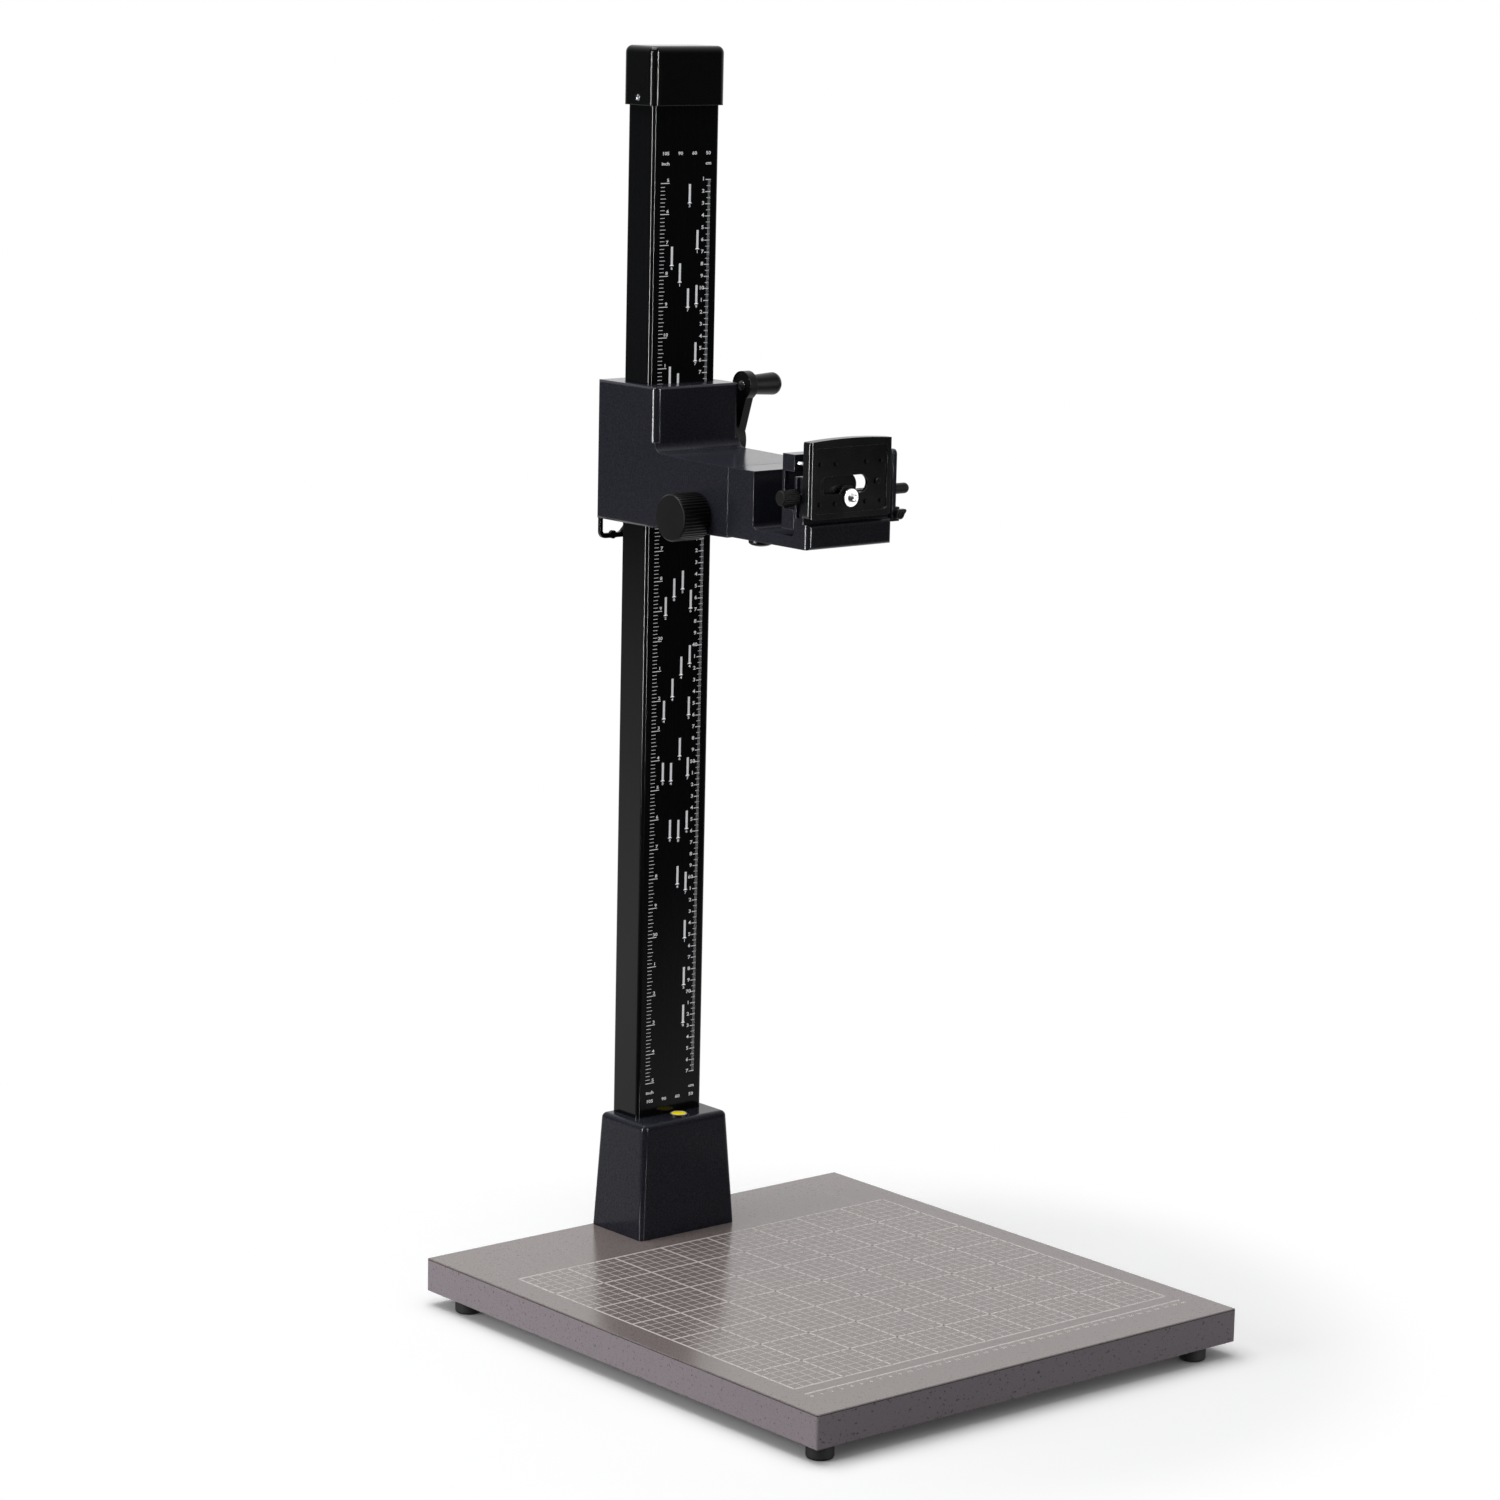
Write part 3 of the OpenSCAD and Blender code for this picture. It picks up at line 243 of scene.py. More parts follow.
@dataclass(frozen=True)
class Finish:
    """A finish with grain, uneven gloss, slight shade changes and worn edges; lengths are in metres."""
    name: str
    colour: Colour
    roughness: float = 0.5
    metallic: float = 0.0
    grain: Grain = Grain.EVEN
    grain_per_m: float = 1500
    grain_depth: float = 0.00003
    grain_strength: float = 0.3
    shade: float = 0.12
    gloss_spread: float = 0.06
    edge: float = 0.0004
    wear: float = 0.0
    worn: Colour = (0.2, 0.2, 0.2)
    specular: float = 0.5

    STRETCH = {Grain.EVEN: (1, 1, 1), Grain.DRAWN_UP: (1, 1, 0.01), Grain.TURNED: (1, 0.04, 0.04)}
    FINE_DETAIL = 3
    GRAIN_SPAN = (0.3, 0.7)
    BROAD_PER_M = 18
    BROAD_DETAIL = 4
    GLOSS_SPAN = (0.1, 0.9)
    RUB_RADIUS = 0.0007
    RUB_SAMPLES = 4
    RUB_SPAN = (0.985, 0.86)
    PATCH_PER_M = 260
    PATCH_DETAIL = 3
    PATCH_SPAN = (0.5, 0.72)

    def build(self) -> bpy.types.Material:
        """Makes the node material.

        Returns:
            The material.
        """
        graph = Graph(bpy.data.materials.new(self.name))
        fine = graph.noise(self.grain_per_m, self.FINE_DETAIL, self.STRETCH[self.grain])
        broad = graph.noise(self.BROAD_PER_M, self.BROAD_DETAIL)
        dark = tuple(c * (1 - self.shade) for c in self.colour)
        light = tuple(min(1.0, c * (1 + self.shade)) for c in self.colour)
        colour = graph.mix(graph.span(fine, *self.GRAIN_SPAN, (0, 1)), dark, light)
        colour = self.tint(graph, colour)
        rough = graph.span(broad, *self.GLOSS_SPAN,
                           (self.roughness - self.gloss_spread, self.roughness + self.gloss_spread))
        if self.wear:
            colour = graph.mix(self.rubbed(graph), colour, self.worn)
        return graph.principled({
            "Base Color": colour, "Roughness": rough, "Metallic": self.metallic,
            "Specular IOR Level": self.specular,
            "Normal": graph.bump(fine, self.grain_depth, self.grain_strength, self.edge)})

    def rubbed(self, graph: Graph) -> Socket:
        """Where the finish is rubbed through: broken patches along the edges.

        Args:
            graph: The material's nodes.

        Returns:
            A share, 0 to the finish's wear.
        """
        soft = graph.node("ShaderNodeBevel", {"Radius": self.RUB_RADIUS}, samples=self.RUB_SAMPLES)
        flat = graph.node("ShaderNodeNewGeometry")
        turned = graph.node("ShaderNodeVectorMath", {0: soft.outputs["Normal"], 1: flat.outputs["Normal"]},
                            operation="DOT_PRODUCT")
        edge = graph.span(turned.outputs["Value"], *self.RUB_SPAN, (0, 1))
        flakes = graph.noise(self.PATCH_PER_M, self.PATCH_DETAIL)
        return graph.times(edge, graph.span(flakes, *self.PATCH_SPAN, (0, self.wear)))

    def tint(self, graph: Graph, colour: Socket) -> Socket:
        """A place for a finish to change its grained colour; here it stays."""
        return colour


@dataclass(frozen=True)
class Specks:
    """Small spots of another colour; low and high are the noise values between which they set in."""
    per_m: float
    detail: float
    low: float
    high: float
    share: float
    colour: Colour


@dataclass(frozen=True)
class BoardCoating(Finish):
    """Grey speckled melamine with a dark glue line above its banded sides, which are painted paler: partly
    the band's own tone, partly painted light on the less lit sides.
    """
    # Colour of the sides: the edge band's own tone made paler, painted light that lifts the less lit sides.
    edge_colour: Colour = srgb(192, 180, 186)
    specks: tuple[Specks, ...] = (
        Specks(360, 2, 0.62, 0.68, 0.6, srgb(84, 76, 76)),
        Specks(900, 2, 0.6, 0.66, 0.5, srgb(196, 188, 188)),
        Specks(1100, 1, 0.4, 0.34, 0.3, srgb(84, 76, 76)),
    )
    scuffs: Specks = Specks(60, 5, 0.6, 0.76, 0.12, srgb(176, 168, 164))
    scuff_stretch: Point = (1, 0.12, 1)
    side_span: tuple[float, float] = (0.75, 0.4)
    joint: Colour = srgb(30, 27, 29)
    joint_deep: float = 0.0013
    joint_soft: float = 0.2

    def tint(self, graph: Graph, colour: Socket) -> Socket:
        """Adds specks, faint scuffs, the paler colour of the banded sides (partly painted light) and the
        glue line under the top.

        Args:
            graph: The material's nodes.
            colour: The grained colour.

        Returns:
            The colour to use.
        """
        colour = self.spot(graph, colour, self.scuffs, self.scuff_stretch)
        facing = graph.node("ShaderNodeSeparateXYZ", {
            "Vector": graph.node("ShaderNodeNewGeometry").outputs["Normal"]}).outputs["Z"]
        side = graph.span(facing, *self.side_span, (0, 1))
        # Faces that do not look up take the paler side colour, partly painted light.
        colour = graph.mix(side, colour, self.edge_colour)
        for row in self.specks:
            colour = self.spot(graph, colour, row)
        height = graph.node("ShaderNodeSeparateXYZ", {"Vector": graph.coordinates()}).outputs["Z"]
        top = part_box("baseboard")[1][2]
        line = graph.span(height, top - self.joint_deep * (1 + self.joint_soft),
                          top - self.joint_deep * (1 - self.joint_soft), (0, 1))
        return graph.mix(graph.times(side, line), colour, self.joint)

    def spot(self, graph: Graph, colour: Socket, row: Specks, stretch: Point = (1, 1, 1)) -> Socket:
        """Adds one kind of specks to the colour, with their noise stretched along X, Y and Z."""
        where = graph.span(graph.noise(row.per_m, row.detail, stretch), row.low, row.high, (0, row.share))
        return graph.mix(where, colour, row.colour)


@dataclass(frozen=True)
class Ink:
    """Screen-printed ink, slightly uneven; it can glow of its own, painted light that brightens the print.
    """
    name: str
    colour: Colour
    # Strength of the ink's glow: painted light, the ink is no lamp.
    bright: float = 0.0
    cover_per_m: float = 900
    cover_detail: float = 3
    thin: float = 0.86
    relief: float = 0.000005
    relief_strength: float = 0.2

    COVER_SPAN = (0.3, 0.7)
    GLOSS = {"Roughness": 0.5}

    def build(self) -> bpy.types.Material:
        """Makes the node material.

        Returns:
            The material.
        """
        graph = Graph(bpy.data.materials.new(self.name))
        cover = graph.span(graph.noise(self.cover_per_m, self.cover_detail), *self.COVER_SPAN, (0, 1))
        thin = tuple(c * self.thin for c in self.colour)
        return graph.principled({
            **self.GLOSS, "Base Color": graph.mix(cover, thin, self.colour),
            "Emission Color": self.colour, "Emission Strength": self.bright,
            "Normal": graph.bump(cover, self.relief, self.relief_strength, 0)})


@dataclass(frozen=True)
class VialLiquid(Ink):
    """Yellow level liquid under a clear domed lens; it glows of its own, painted light that brightens it
    where the housing's rim shades it.
    """
    # The liquid's glow is painted light.
    bright: float = 0.55
    cover_per_m: float = 220
    cover_detail: float = 2
    thin: float = 0.8
    relief: float = 0.00001
    relief_strength: float = 0.1

    GLOSS = {"Roughness": 0.12, "Coat Weight": 0.6, "Coat Roughness": 0.05, "Subsurface Weight": 0.1}


class Palette:
    """Every finish of the stand, built once and found by its record slot."""

    FINISHES = {
        "board": BoardCoating("board_coating", srgb(136, 125, 122), roughness=0.2, grain_per_m=1400,
                              grain_depth=0.00001, grain_strength=0.12, shade=0.09, gloss_spread=0.03,
                              edge=0.0006, specular=0.42),
        "feet": Finish("foot_rubber", srgb(32, 31, 31), roughness=0.75, grain_per_m=900, shade=0.2,
                       specular=0.3),
        "casting": Finish("casting_powder_coat", srgb(46, 47, 56), roughness=0.18, grain_per_m=750,
                          grain_depth=0.00004, grain_strength=0.4, shade=0.4, gloss_spread=0.02,
                          edge=0.0012, wear=0.3, worn=srgb(96, 97, 104), specular=0.34),
        "profile": Finish("column_anodising", srgb(20, 21, 23), roughness=0.11, grain=Grain.DRAWN_UP,
                          grain_per_m=1600, grain_depth=0.00001, grain_strength=0.2, shade=0.2, edge=0.0003,
                          gloss_spread=0.02, specular=0.24),
        "steel": Finish("turned_steel", srgb(186, 186, 188), roughness=0.26, metallic=1.0,
                        grain=Grain.TURNED, grain_per_m=2500, grain_depth=0.00001, edge=0.0002),
        "zinc": Finish("zinc_plate", srgb(192, 194, 198), roughness=0.3, metallic=1.0, shade=0.08,
                       edge=0.0002),
        "chrome": Finish("bright_chrome", srgb(238, 238, 238), roughness=0.38, metallic=1.0, shade=0.04,
                         grain_strength=0.08, gloss_spread=0.04, edge=0.0003),
        "spring": Finish("spring_steel", srgb(120, 124, 132), roughness=0.25, metallic=1.0,
                         grain=Grain.DRAWN_UP, edge=0),
        "knob": Finish("moulded_black", srgb(14, 14, 15), roughness=0.3, grain_per_m=1800,
                       grain_strength=0.2, shade=0.18, specular=0.26),
        "roller": Finish("acetal_white", srgb(214, 210, 198), roughness=0.45, shade=0.04),
        "tyre": Finish("drive_rubber", srgb(24, 24, 24), roughness=0.8, shade=0.2),
        "brass": Finish("gear_brass", srgb(190, 156, 92), roughness=0.3, metallic=1.0, shade=0.08,
                        edge=0.0002),
        "vial": VialLiquid("level_liquid", srgb(252, 226, 22)),
        "plate": Finish("plate_coat", srgb(24, 26, 27), roughness=0.22, grain_per_m=1400,
                        grain_depth=0.00004, grain_strength=0.3, shade=0.2, edge=0.0006, wear=0.5,
                        worn=srgb(120, 121, 124), specular=0.34),
        "collar": Finish("machined_aluminium", srgb(168, 169, 172), roughness=0.35, metallic=1.0,
                         grain=Grain.TURNED, edge=0.0003),
    }

    VARIANTS = {
        "top_cap": Finish("cap_moulding", srgb(18, 19, 19), roughness=0.12, grain_per_m=1200,
                          grain_depth=0.00001, grain_strength=0.06, shade=0.15, gloss_spread=0.01,
                          edge=0.0012, specular=0.36),
        "plate_nubs": Finish("nub_rubber", srgb(3, 3, 3), roughness=0.5, grain_per_m=1500, shade=0.2,
                             specular=0.06),
        # The feed knob is made near black: painted shade from the bracket round it.
        "feed_knob": Finish("feed_knob_painted_shade", srgb(6, 6, 6), roughness=0.35, grain_per_m=1500, shade=0.2,
                            specular=0.2),
        "column_shoe": Finish("shoe_powder_coat", srgb(46, 47, 56), roughness=0.14, grain_per_m=750,
                              grain_depth=0.00004, grain_strength=0.5, shade=0.4, gloss_spread=0.02,
                              edge=0.0012, wear=0.25, worn=srgb(96, 97, 104), specular=0.18),
    }

    def __init__(self) -> None:
        """Starts with no material built."""
        self.built: dict[str, bpy.types.Material] = {}

    def of(self, slot: str) -> bpy.types.Material:
        """The material of a record slot.

        Args:
            slot: The record's material slot.

        Returns:
            The material.
        """
        if slot not in self.built:
            self.built[slot] = self.FINISHES[slot].build()
        return self.built[slot]

    def dress_nodes(self) -> None:
        """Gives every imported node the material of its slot."""
        for row in frame["record"]["subparts"]:
            node = frame["nodes"][row["node"]]
            node.data.materials.clear()
            own = self.VARIANTS.get(row["node"])
            node.data.materials.append(own.build() if own else self.of(row["material_slot"]))
            LOG.info("node %s wears %s", row["node"], row["material_slot"])


@dataclass(frozen=True)
class Sheet:
    """A flat place to print on: a point with the directions right, up and out."""
    corner: Point
    right: Point
    up: Point
    out: Point

    def at(self, across: float, above: float, lift: float = 0.0) -> Vector:
        """The place in metres of a point that lies so many millimetres right, up and out of the corner."""
        place = Vector(self.corner) + Vector(self.right) * across + Vector(self.up) * above
        return (place + Vector(self.out) * lift) * MM


def linked(name: str, data: bpy.types.ID) -> bpy.types.Object:
    """Makes an object and links it to the scene.

    Args:
        name: Its name.
        data: Its mesh, curve, lamp or camera.

    Returns:
        The object.
    """
    made = bpy.data.objects.new(name, data)
    bpy.context.scene.collection.objects.link(made)
    return made


def bridge(mesh: Mesh, *rings: Sequence[bmesh.types.BMVert]) -> None:
    """Joins each ring of vertices to the next one with a band of faces.

    Args:
        mesh: The mesh that holds them.
        rings: The rings, all with as many vertices.
    """
    for first, second in zip(rings, rings[1:]):
        for i in range(len(first)):
            j = (i + 1) % len(first)
            mesh.faces.new((first[i], first[j], second[j], second[i]))


def prism(mesh: Mesh, low: Sequence[Vector], top: Sequence[Vector]) -> None:
    """Adds a closed block between two outlines.

    Args:
        mesh: The mesh.
        low: Corners of the lower outline.
        top: Corners of the upper one.
    """
    rings = [[mesh.verts.new(corner) for corner in outline] for outline in (low, top)]
    mesh.faces.new(rings[1])
    mesh.faces.new(rings[0][::-1])
    bridge(mesh, *rings)


def circle(mesh: Mesh, centre: Point, plane: tuple[int, int],
           radii: Sequence[float]) -> list[bmesh.types.BMVert]:
    """Adds a ring of vertices round a centre.

    Args:
        mesh: The mesh.
        centre: Middle of the ring.
        plane: Numbers of the two axes that it lies along.
        radii: One radius for each vertex.

    Returns:
        The vertices.
    """
    made = []
    for i, radius in enumerate(radii):
        angle = 2 * math.pi * i / len(radii)
        place = list(centre)
        place[plane[0]] += radius * math.cos(angle)
        place[plane[1]] += radius * math.sin(angle)
        made.append(mesh.verts.new(place))
    return made


def piece(name: str, mesh: Mesh, material: bpy.types.Material, body: str,
          replaced: Iterable[str] = (), smooth: bool = True) -> bpy.types.Object:
    """Turns a finished mesh into a named piece that rides on a body.

    Args:
        name: Name of the piece.
        mesh: Its mesh; it is freed here.
        material: Its material.
        body: The body it rides on.
        replaced: CAD nodes that it stands for.
        smooth: Whether faces that meet under SMOOTH_ANGLE are shaded as one.

    Returns:
        The object.
    """
    bmesh.ops.recalc_face_normals(mesh, faces=mesh.faces)
    data = bpy.data.meshes.new(name)
    mesh.to_mesh(data)
    mesh.free()
    made = linked(name, data)
    data.materials.append(material)
    if smooth:
        data.shade_smooth()
        data.set_sharp_from_angle(angle=SMOOTH_ANGLE)
    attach(made, body)
    if replaced:
        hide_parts(*replaced)
    LOG.info("piece %s rides on %s, %d faces", name, body, len(data.polygons))
    return made


class Print:
    """Collects bars and figures on a sheet into one thin printed piece; lengths are in millimetres."""

    THICK = 0.02
    BOLD = 0.03
    WIDE = 1.35
    BODY_PER_HEIGHT = 1.4
    CURVE_STEPS = 2

    def __init__(self, name: str, sheet: Sheet) -> None:
        """Starts an empty print.

        Args:
            name: Name of the piece.
            sheet: Where it is printed.
        """
        self.name = name
        self.sheet = sheet
        self.mesh = bmesh.new()

    def bar(self, left: float, right: float, low: float, high: float) -> None:
        """Adds an upright rectangle between those edges."""
        corners = ((left, low), (right, low), (right, high), (left, high))
        lifts = (-self.THICK, self.THICK)
        prism(self.mesh, *([self.sheet.at(*place, lift) for place in corners] for lift in lifts))

    def words(self, text: str, across: float, above: float, size: float) -> None:
        """Adds a figure or a unit, centred on a point.

        Args:
            text: What to print.
            across: Centre to the right.
            above: Centre up.
            size: Height of the type.
        """
        curve = bpy.data.curves.new("type", "FONT")
        curve.body = text
        curve.size = size * self.BODY_PER_HEIGHT
        curve.offset = size * self.BOLD
        curve.resolution_u = self.CURVE_STEPS
        curve.extrude = self.THICK
        curve.align_x = "CENTER"
        curve.align_y = "CENTER"
        holder = linked("type", curve)
        solid = bpy.data.meshes.new_from_object(holder.evaluated_get(bpy.context.evaluated_depsgraph_get()))
        made = []
        for vertex in solid.vertices:
            flat = vertex.co
            place = self.sheet.at(across + flat.x * self.WIDE, above + flat.y, flat.z)
            made.append(self.mesh.verts.new(place))
        for face in solid.polygons:
            try:
                self.mesh.faces.new([made[i] for i in face.vertices])
            except ValueError:
                continue
        bpy.data.objects.remove(holder)
        bpy.data.curves.remove(curve)
        bpy.data.meshes.remove(solid)

    def finish(self, material: bpy.types.Material, body: str) -> bpy.types.Object:
        """Makes the printed piece in that ink and on that body."""
        return piece(self.name, self.mesh, material, body, smooth=False)


@dataclass(frozen=True)
class Ruler:
    """A ruler in millimetres, counted down; ticks and strokes are for a whole unit, a half and a part."""
    edge: float
    zero: float
    unit: float
    parts: int
    count: int
    first: int
    ticks: tuple[float, float, float]
    strokes: tuple[float, float, float]
    figures: float
    figures_up: float
    type_high: float

    WRITTEN_OUT = 10

    def dress(self, ink: Print) -> None:
        """Prints ticks from the outer edge inwards and figures, of which only each tenth is written out.

        Args:
            ink: The print.
        """
        for k in range(self.count * self.parts + 1):
            rank = 0 if k % self.parts == 0 else 1 if k % (self.parts // 2) == 0 else 2
            z = self.zero - k * self.unit / self.parts
            half = self.strokes[rank] / 2
            inner = self.edge - math.copysign(self.ticks[rank], self.edge)
            ink.bar(min(self.edge, inner), max(self.edge, inner), z - half, z + half)
        for k in range(self.count + 1):
            value = k + self.first
            figure = str(value % self.WRITTEN_OUT or value)
            ink.words(figure, self.figures, self.zero - self.unit * k + self.figures_up, self.type_high)


@dataclass
class ColumnScale:
    """White print on the column's front: two rulers, their units, rows of figures and pointer bars."""
    rulers: tuple[Ruler, ...] = (
        Ruler(edge=-26.4, zero=930.0, unit=25.4, parts=8, count=30, first=5, ticks=(9.2, 5.8, 4.6),
              strokes=(0.6, 0.4, 0.4), figures=-18.7, figures_up=2.3, type_high=2.7),
        Ruler(edge=26.3, zero=932.4, unit=10.0, parts=10, count=76, first=1, ticks=(5.3, 4.0, 2.7),
              strokes=(0.6, 0.4, 0.17), figures=18.8, figures_up=0.6, type_high=2.97),
    )
    type_high: float = 2.7
    rows_z: tuple[float, float] = (954.2, 152.1)
    rows: tuple[tuple[float, str], ...] = ((-21.6, "105"), (-6.0, "90"), (8.8, "60"), (23.6, "50"))
    units_z: tuple[float, float] = (945.9, 159.6)
    units: tuple[tuple[float, str], ...] = ((-21.6, "inch"), (23.8, "cm"))
    lanes: tuple[float, ...] = (-13.4, -4.6, 4.5, 13.5)
    bar_wide: float = 2.2
    bar_high: float = 15.5
    foot_wide: float = 4.0
    foot_high: float = 0.8
    mark_drop: float = 2.4
    mark_high: float = 2.4
    marks: int = 9
    # The column ink glows at 0.3, painted light that makes the white print brighter.
    paint: Ink = Ink("column_ink", srgb(246, 247, 250), bright=0.3)
    bars: tuple[tuple[int, float], ...] = (
        (2, 929), (3, 891), (0, 878), (1, 864), (2, 843), (3, 845.5), (3, 798), (0, 779), (1, 773),
        (2, 607), (1, 601), (3, 590), (0, 586), (3, 543), (2, 534), (1, 516), (0, 498), (3, 499),
        (2, 464.5), (3, 447), (0, 445), (1, 444), (3, 401), (1, 395), (2, 394), (2, 354), (3, 348),
        (3, 306), (3, 265), (3, 232))

    def dress(self) -> None:
        """Prints the column."""
        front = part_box("column")[0][1]
        ink = Print("column_scale", Sheet((0, front / MM, 0), (1, 0, 0), (0, 0, 1), (0, -1, 0)))
        for ruler in self.rulers:
            ruler.dress(ink)
        for lane, top in self.bars:
            self.pointer(ink, self.lanes[lane], top)
        for heights, row in ((self.rows_z, self.rows), (self.units_z, self.units)):
            for above in heights:
                for across, text in row:
                    ink.words(text, across, above, self.type_high)
        ink.finish(self.paint.build(), "stand")

    def pointer(self, ink: Print, across: float, top: float) -> None:
        """Prints one bar with its foot and a guessed one-digit mark under it.

        Args:
            ink: The print.
            across: Middle of the bar.
            top: Its upper end.
        """
        foot = top - self.bar_high
        ink.bar(across - self.bar_wide / 2, across + self.bar_wide / 2, foot, top)
        ink.bar(across - self.foot_wide / 2, across + self.foot_wide / 2,
                foot - self.foot_high / 2, foot + self.foot_high / 2)
        ink.words(str(int(top) % self.marks + 1), across, foot - self.mark_drop, self.mark_high)


@dataclass
class BoardGrid:
    """Pale grid with a ruler in front of it, printed on the board; lengths are in millimetres."""
    left: float = -198.5
    front: float = 58.0
    wide: float = 400.0
    deep: float = 350.0
    step: float = 10.0
    heavy_each: int = 5
    fine: float = 0.75
    heavy: float = 2.0
    ruler_gap: float = 14.0
    ruler_past: tuple[float, float] = (1.5, 2.5)
    figures_gap: float = 21.0
    tick_wide: float = 0.5
    tick_long: float = 3.0
    type_high: float = 3.0
    paint: Ink = Ink("board_ink", srgb(226, 217, 213))

    def dress(self) -> None:
        """Prints the board; the places are measured from its front edge."""
        low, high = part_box("baseboard")
        sheet = Sheet((self.left, low[1] / MM + self.front, high[2] / MM), (1, 0, 0), (0, 1, 0), (0, 0, 1))
        ink = Print("board_grid", sheet)
        for near, far in self.lines(self.wide):
            ink.bar(near, far, 0, self.deep)
        for near, far in self.lines(self.deep):
            ink.bar(0, self.wide, near, far)
        ink.bar(-self.ruler_past[0], self.wide + self.ruler_past[1],
                -self.ruler_gap - self.heavy / 2, -self.ruler_gap + self.heavy / 2)
        for k in range(int(self.wide / self.step) + 1):
            across = self.step * k
            ink.bar(across - self.tick_wide / 2, across + self.tick_wide / 2,
                    -self.ruler_gap - self.tick_long, -self.ruler_gap)
            ink.words(str(k), across, -self.figures_gap, self.type_high)
        ink.finish(self.paint.build(), "stand")

    def lines(self, reach: float) -> Iterable[tuple[float, float]]:
        """The lines of the grid along one side, with every fifth one heavy.

        Args:
            reach: Length of that side.

        Yields:
            The near and the far edge of each line.
        """
        for k in range(int(reach / self.step) + 1):
            half = (self.fine if k % self.heavy_each else self.heavy) / 2
            yield self.step * k - half, self.step * k + half


class Drive(Enum):
    """What the head of a screw is turned with."""
    HEX = "hex"
    CROSS = "cross"
    SLOT = "slot"


@dataclass
class Fitter:
    """Puts detailed pieces in the place of plain nodes, with the record's finish and body."""
    palette: Palette
    slot_of: dict[str, str]
    body_of: dict[str, str]

    def fit(self, name: str, mesh: Mesh, node: str) -> None:
        """Makes the piece that stands for a node; its mesh is freed here."""
        slot = self.slot_of[node]
        piece(name, mesh, self.palette.of(slot), self.body_of[node], replaced=(node,))


@dataclass
class ScrewHeads:
    """Screws of one node with a recess cut in every head; across and deep are in millimetres."""
    node: str
    toward: Point
    drive: Drive
    across: float
    deep: float
    both_ends: bool = False

    WELD = 0.000002
    RIM = 0.00002
    BLADE_SHARE = 0.13
    SLOT_TURN = 30
    FLOOR_SHARE = 0.86
    MOUTH_SHARE = 1.02
    ABOVE = 0.5

    def dress(self, fitter: Fitter) -> None:
        """Makes the screws and puts them in the place of the plain ones.

        Args:
            fitter: It makes the piece.
        """
        mesh = bmesh.new()
        mesh.from_mesh(frame["nodes"][self.node].data)
        bmesh.ops.remove_doubles(mesh, verts=mesh.verts, dist=self.WELD)
        tools = bmesh.new()
        for place, out in self.heads(mesh):
            self.tool(tools, place, out)
        fitter.fit(self.node + "_turned", carved(mesh, tools), self.node)

    def heads(self, mesh: Mesh) -> list[tuple[Vector, Vector]]:
        """Finds the middle of each head's outer face.

        Args:
            mesh: The plain screws.

        Returns:
            One point and the way out of the head for each screw.
        """
        places = []
        for island in islands(mesh):
            out = Vector(self.toward)
            if self.both_ends and sum(v.co.dot(out) for v in island) < 0:
                out = -out
            reach = max(v.co.dot(out) for v in island)
            rim = [v.co for v in island if v.co.dot(out) > reach - self.RIM]
            low = Vector(min(p[i] for p in rim) for i in range(3))
            high = Vector(max(p[i] for p in rim) for i in range(3))
            places.append(((low + high) / 2, out))
        return places

    def tool(self, tools: Mesh, place: Vector, out: Vector) -> None:
        """Adds the cutter of one recess; it tapers a little towards the recess's floor.

        Args:
            tools: The cutters so far.
            place: Middle of the head's outer face.
            out: The way out of the head.
        """
        turn = out.to_track_quat("Z", "Y").to_matrix().to_4x4()
        half, thin = self.across / 2, self.across * self.BLADE_SHARE
        corner = half / math.cos(math.pi / 6)
        blade = [(-half, -thin), (half, -thin), (half, thin), (-half, thin)]
        sixth = math.pi / 3
        hexagon = [(corner * math.cos(sixth * i), corner * math.sin(sixth * i)) for i in range(6)]
        outline, angles = {Drive.HEX: (hexagon, (0,)), Drive.CROSS: (blade, (0, 90)),
                           Drive.SLOT: (blade, (self.SLOT_TURN,))}[self.drive]
        ends = ((-self.deep, self.FLOOR_SHARE), (self.ABOVE, self.MOUTH_SHARE))
        for angle in angles:
            spun = turn @ Matrix.Rotation(math.radians(angle), 4, "Z")
            prism(tools, *([place + spun @ (Vector((x * size, y * size, depth)) * MM) for x, y in outline]
                           for depth, size in ends))


def islands(mesh: Mesh) -> list[list[bmesh.types.BMVert]]:
    """Splits a mesh into its connected parts.

    Args:
        mesh: The mesh.

    Returns:
        The vertices of each part.
    """
    left = set(mesh.verts)
    parts = []
    while left:
        stack = [left.pop()]
        part = []
        while stack:
            vertex = stack.pop()
            part.append(vertex)
            for edge in vertex.link_edges:
                other = edge.other_vert(vertex)
                if other in left:
                    left.remove(other)
                    stack.append(other)
        parts.append(part)
    return parts


def carved(mesh: Mesh, tools: Mesh) -> Mesh:
    """Cuts the tools out of a mesh.

    Args:
        mesh: The mesh; it is freed here.
        tools: The cutters; they are freed here.

    Returns:
        What is left.
    """
    holders = []
    for source in (mesh, tools):
        bmesh.ops.recalc_face_normals(source, faces=source.faces)
        data = bpy.data.meshes.new("work")
        source.to_mesh(data)
        source.free()
        holders.append(linked("work", data))
    body, cutter = holders
    step = body.modifiers.new("recess", "BOOLEAN")
    step.operation = "DIFFERENCE"
    step.solver = "EXACT"
    step.use_self = True
    step.object = cutter
    bpy.context.view_layer.update()
    result = bmesh.new()
    ready = body.evaluated_get(bpy.context.evaluated_depsgraph_get())
    result.from_mesh(ready.to_mesh())
    ready.to_mesh_clear()
    for holder in holders:
        data = holder.data
        bpy.data.objects.remove(holder)
        bpy.data.meshes.remove(data)
    return result


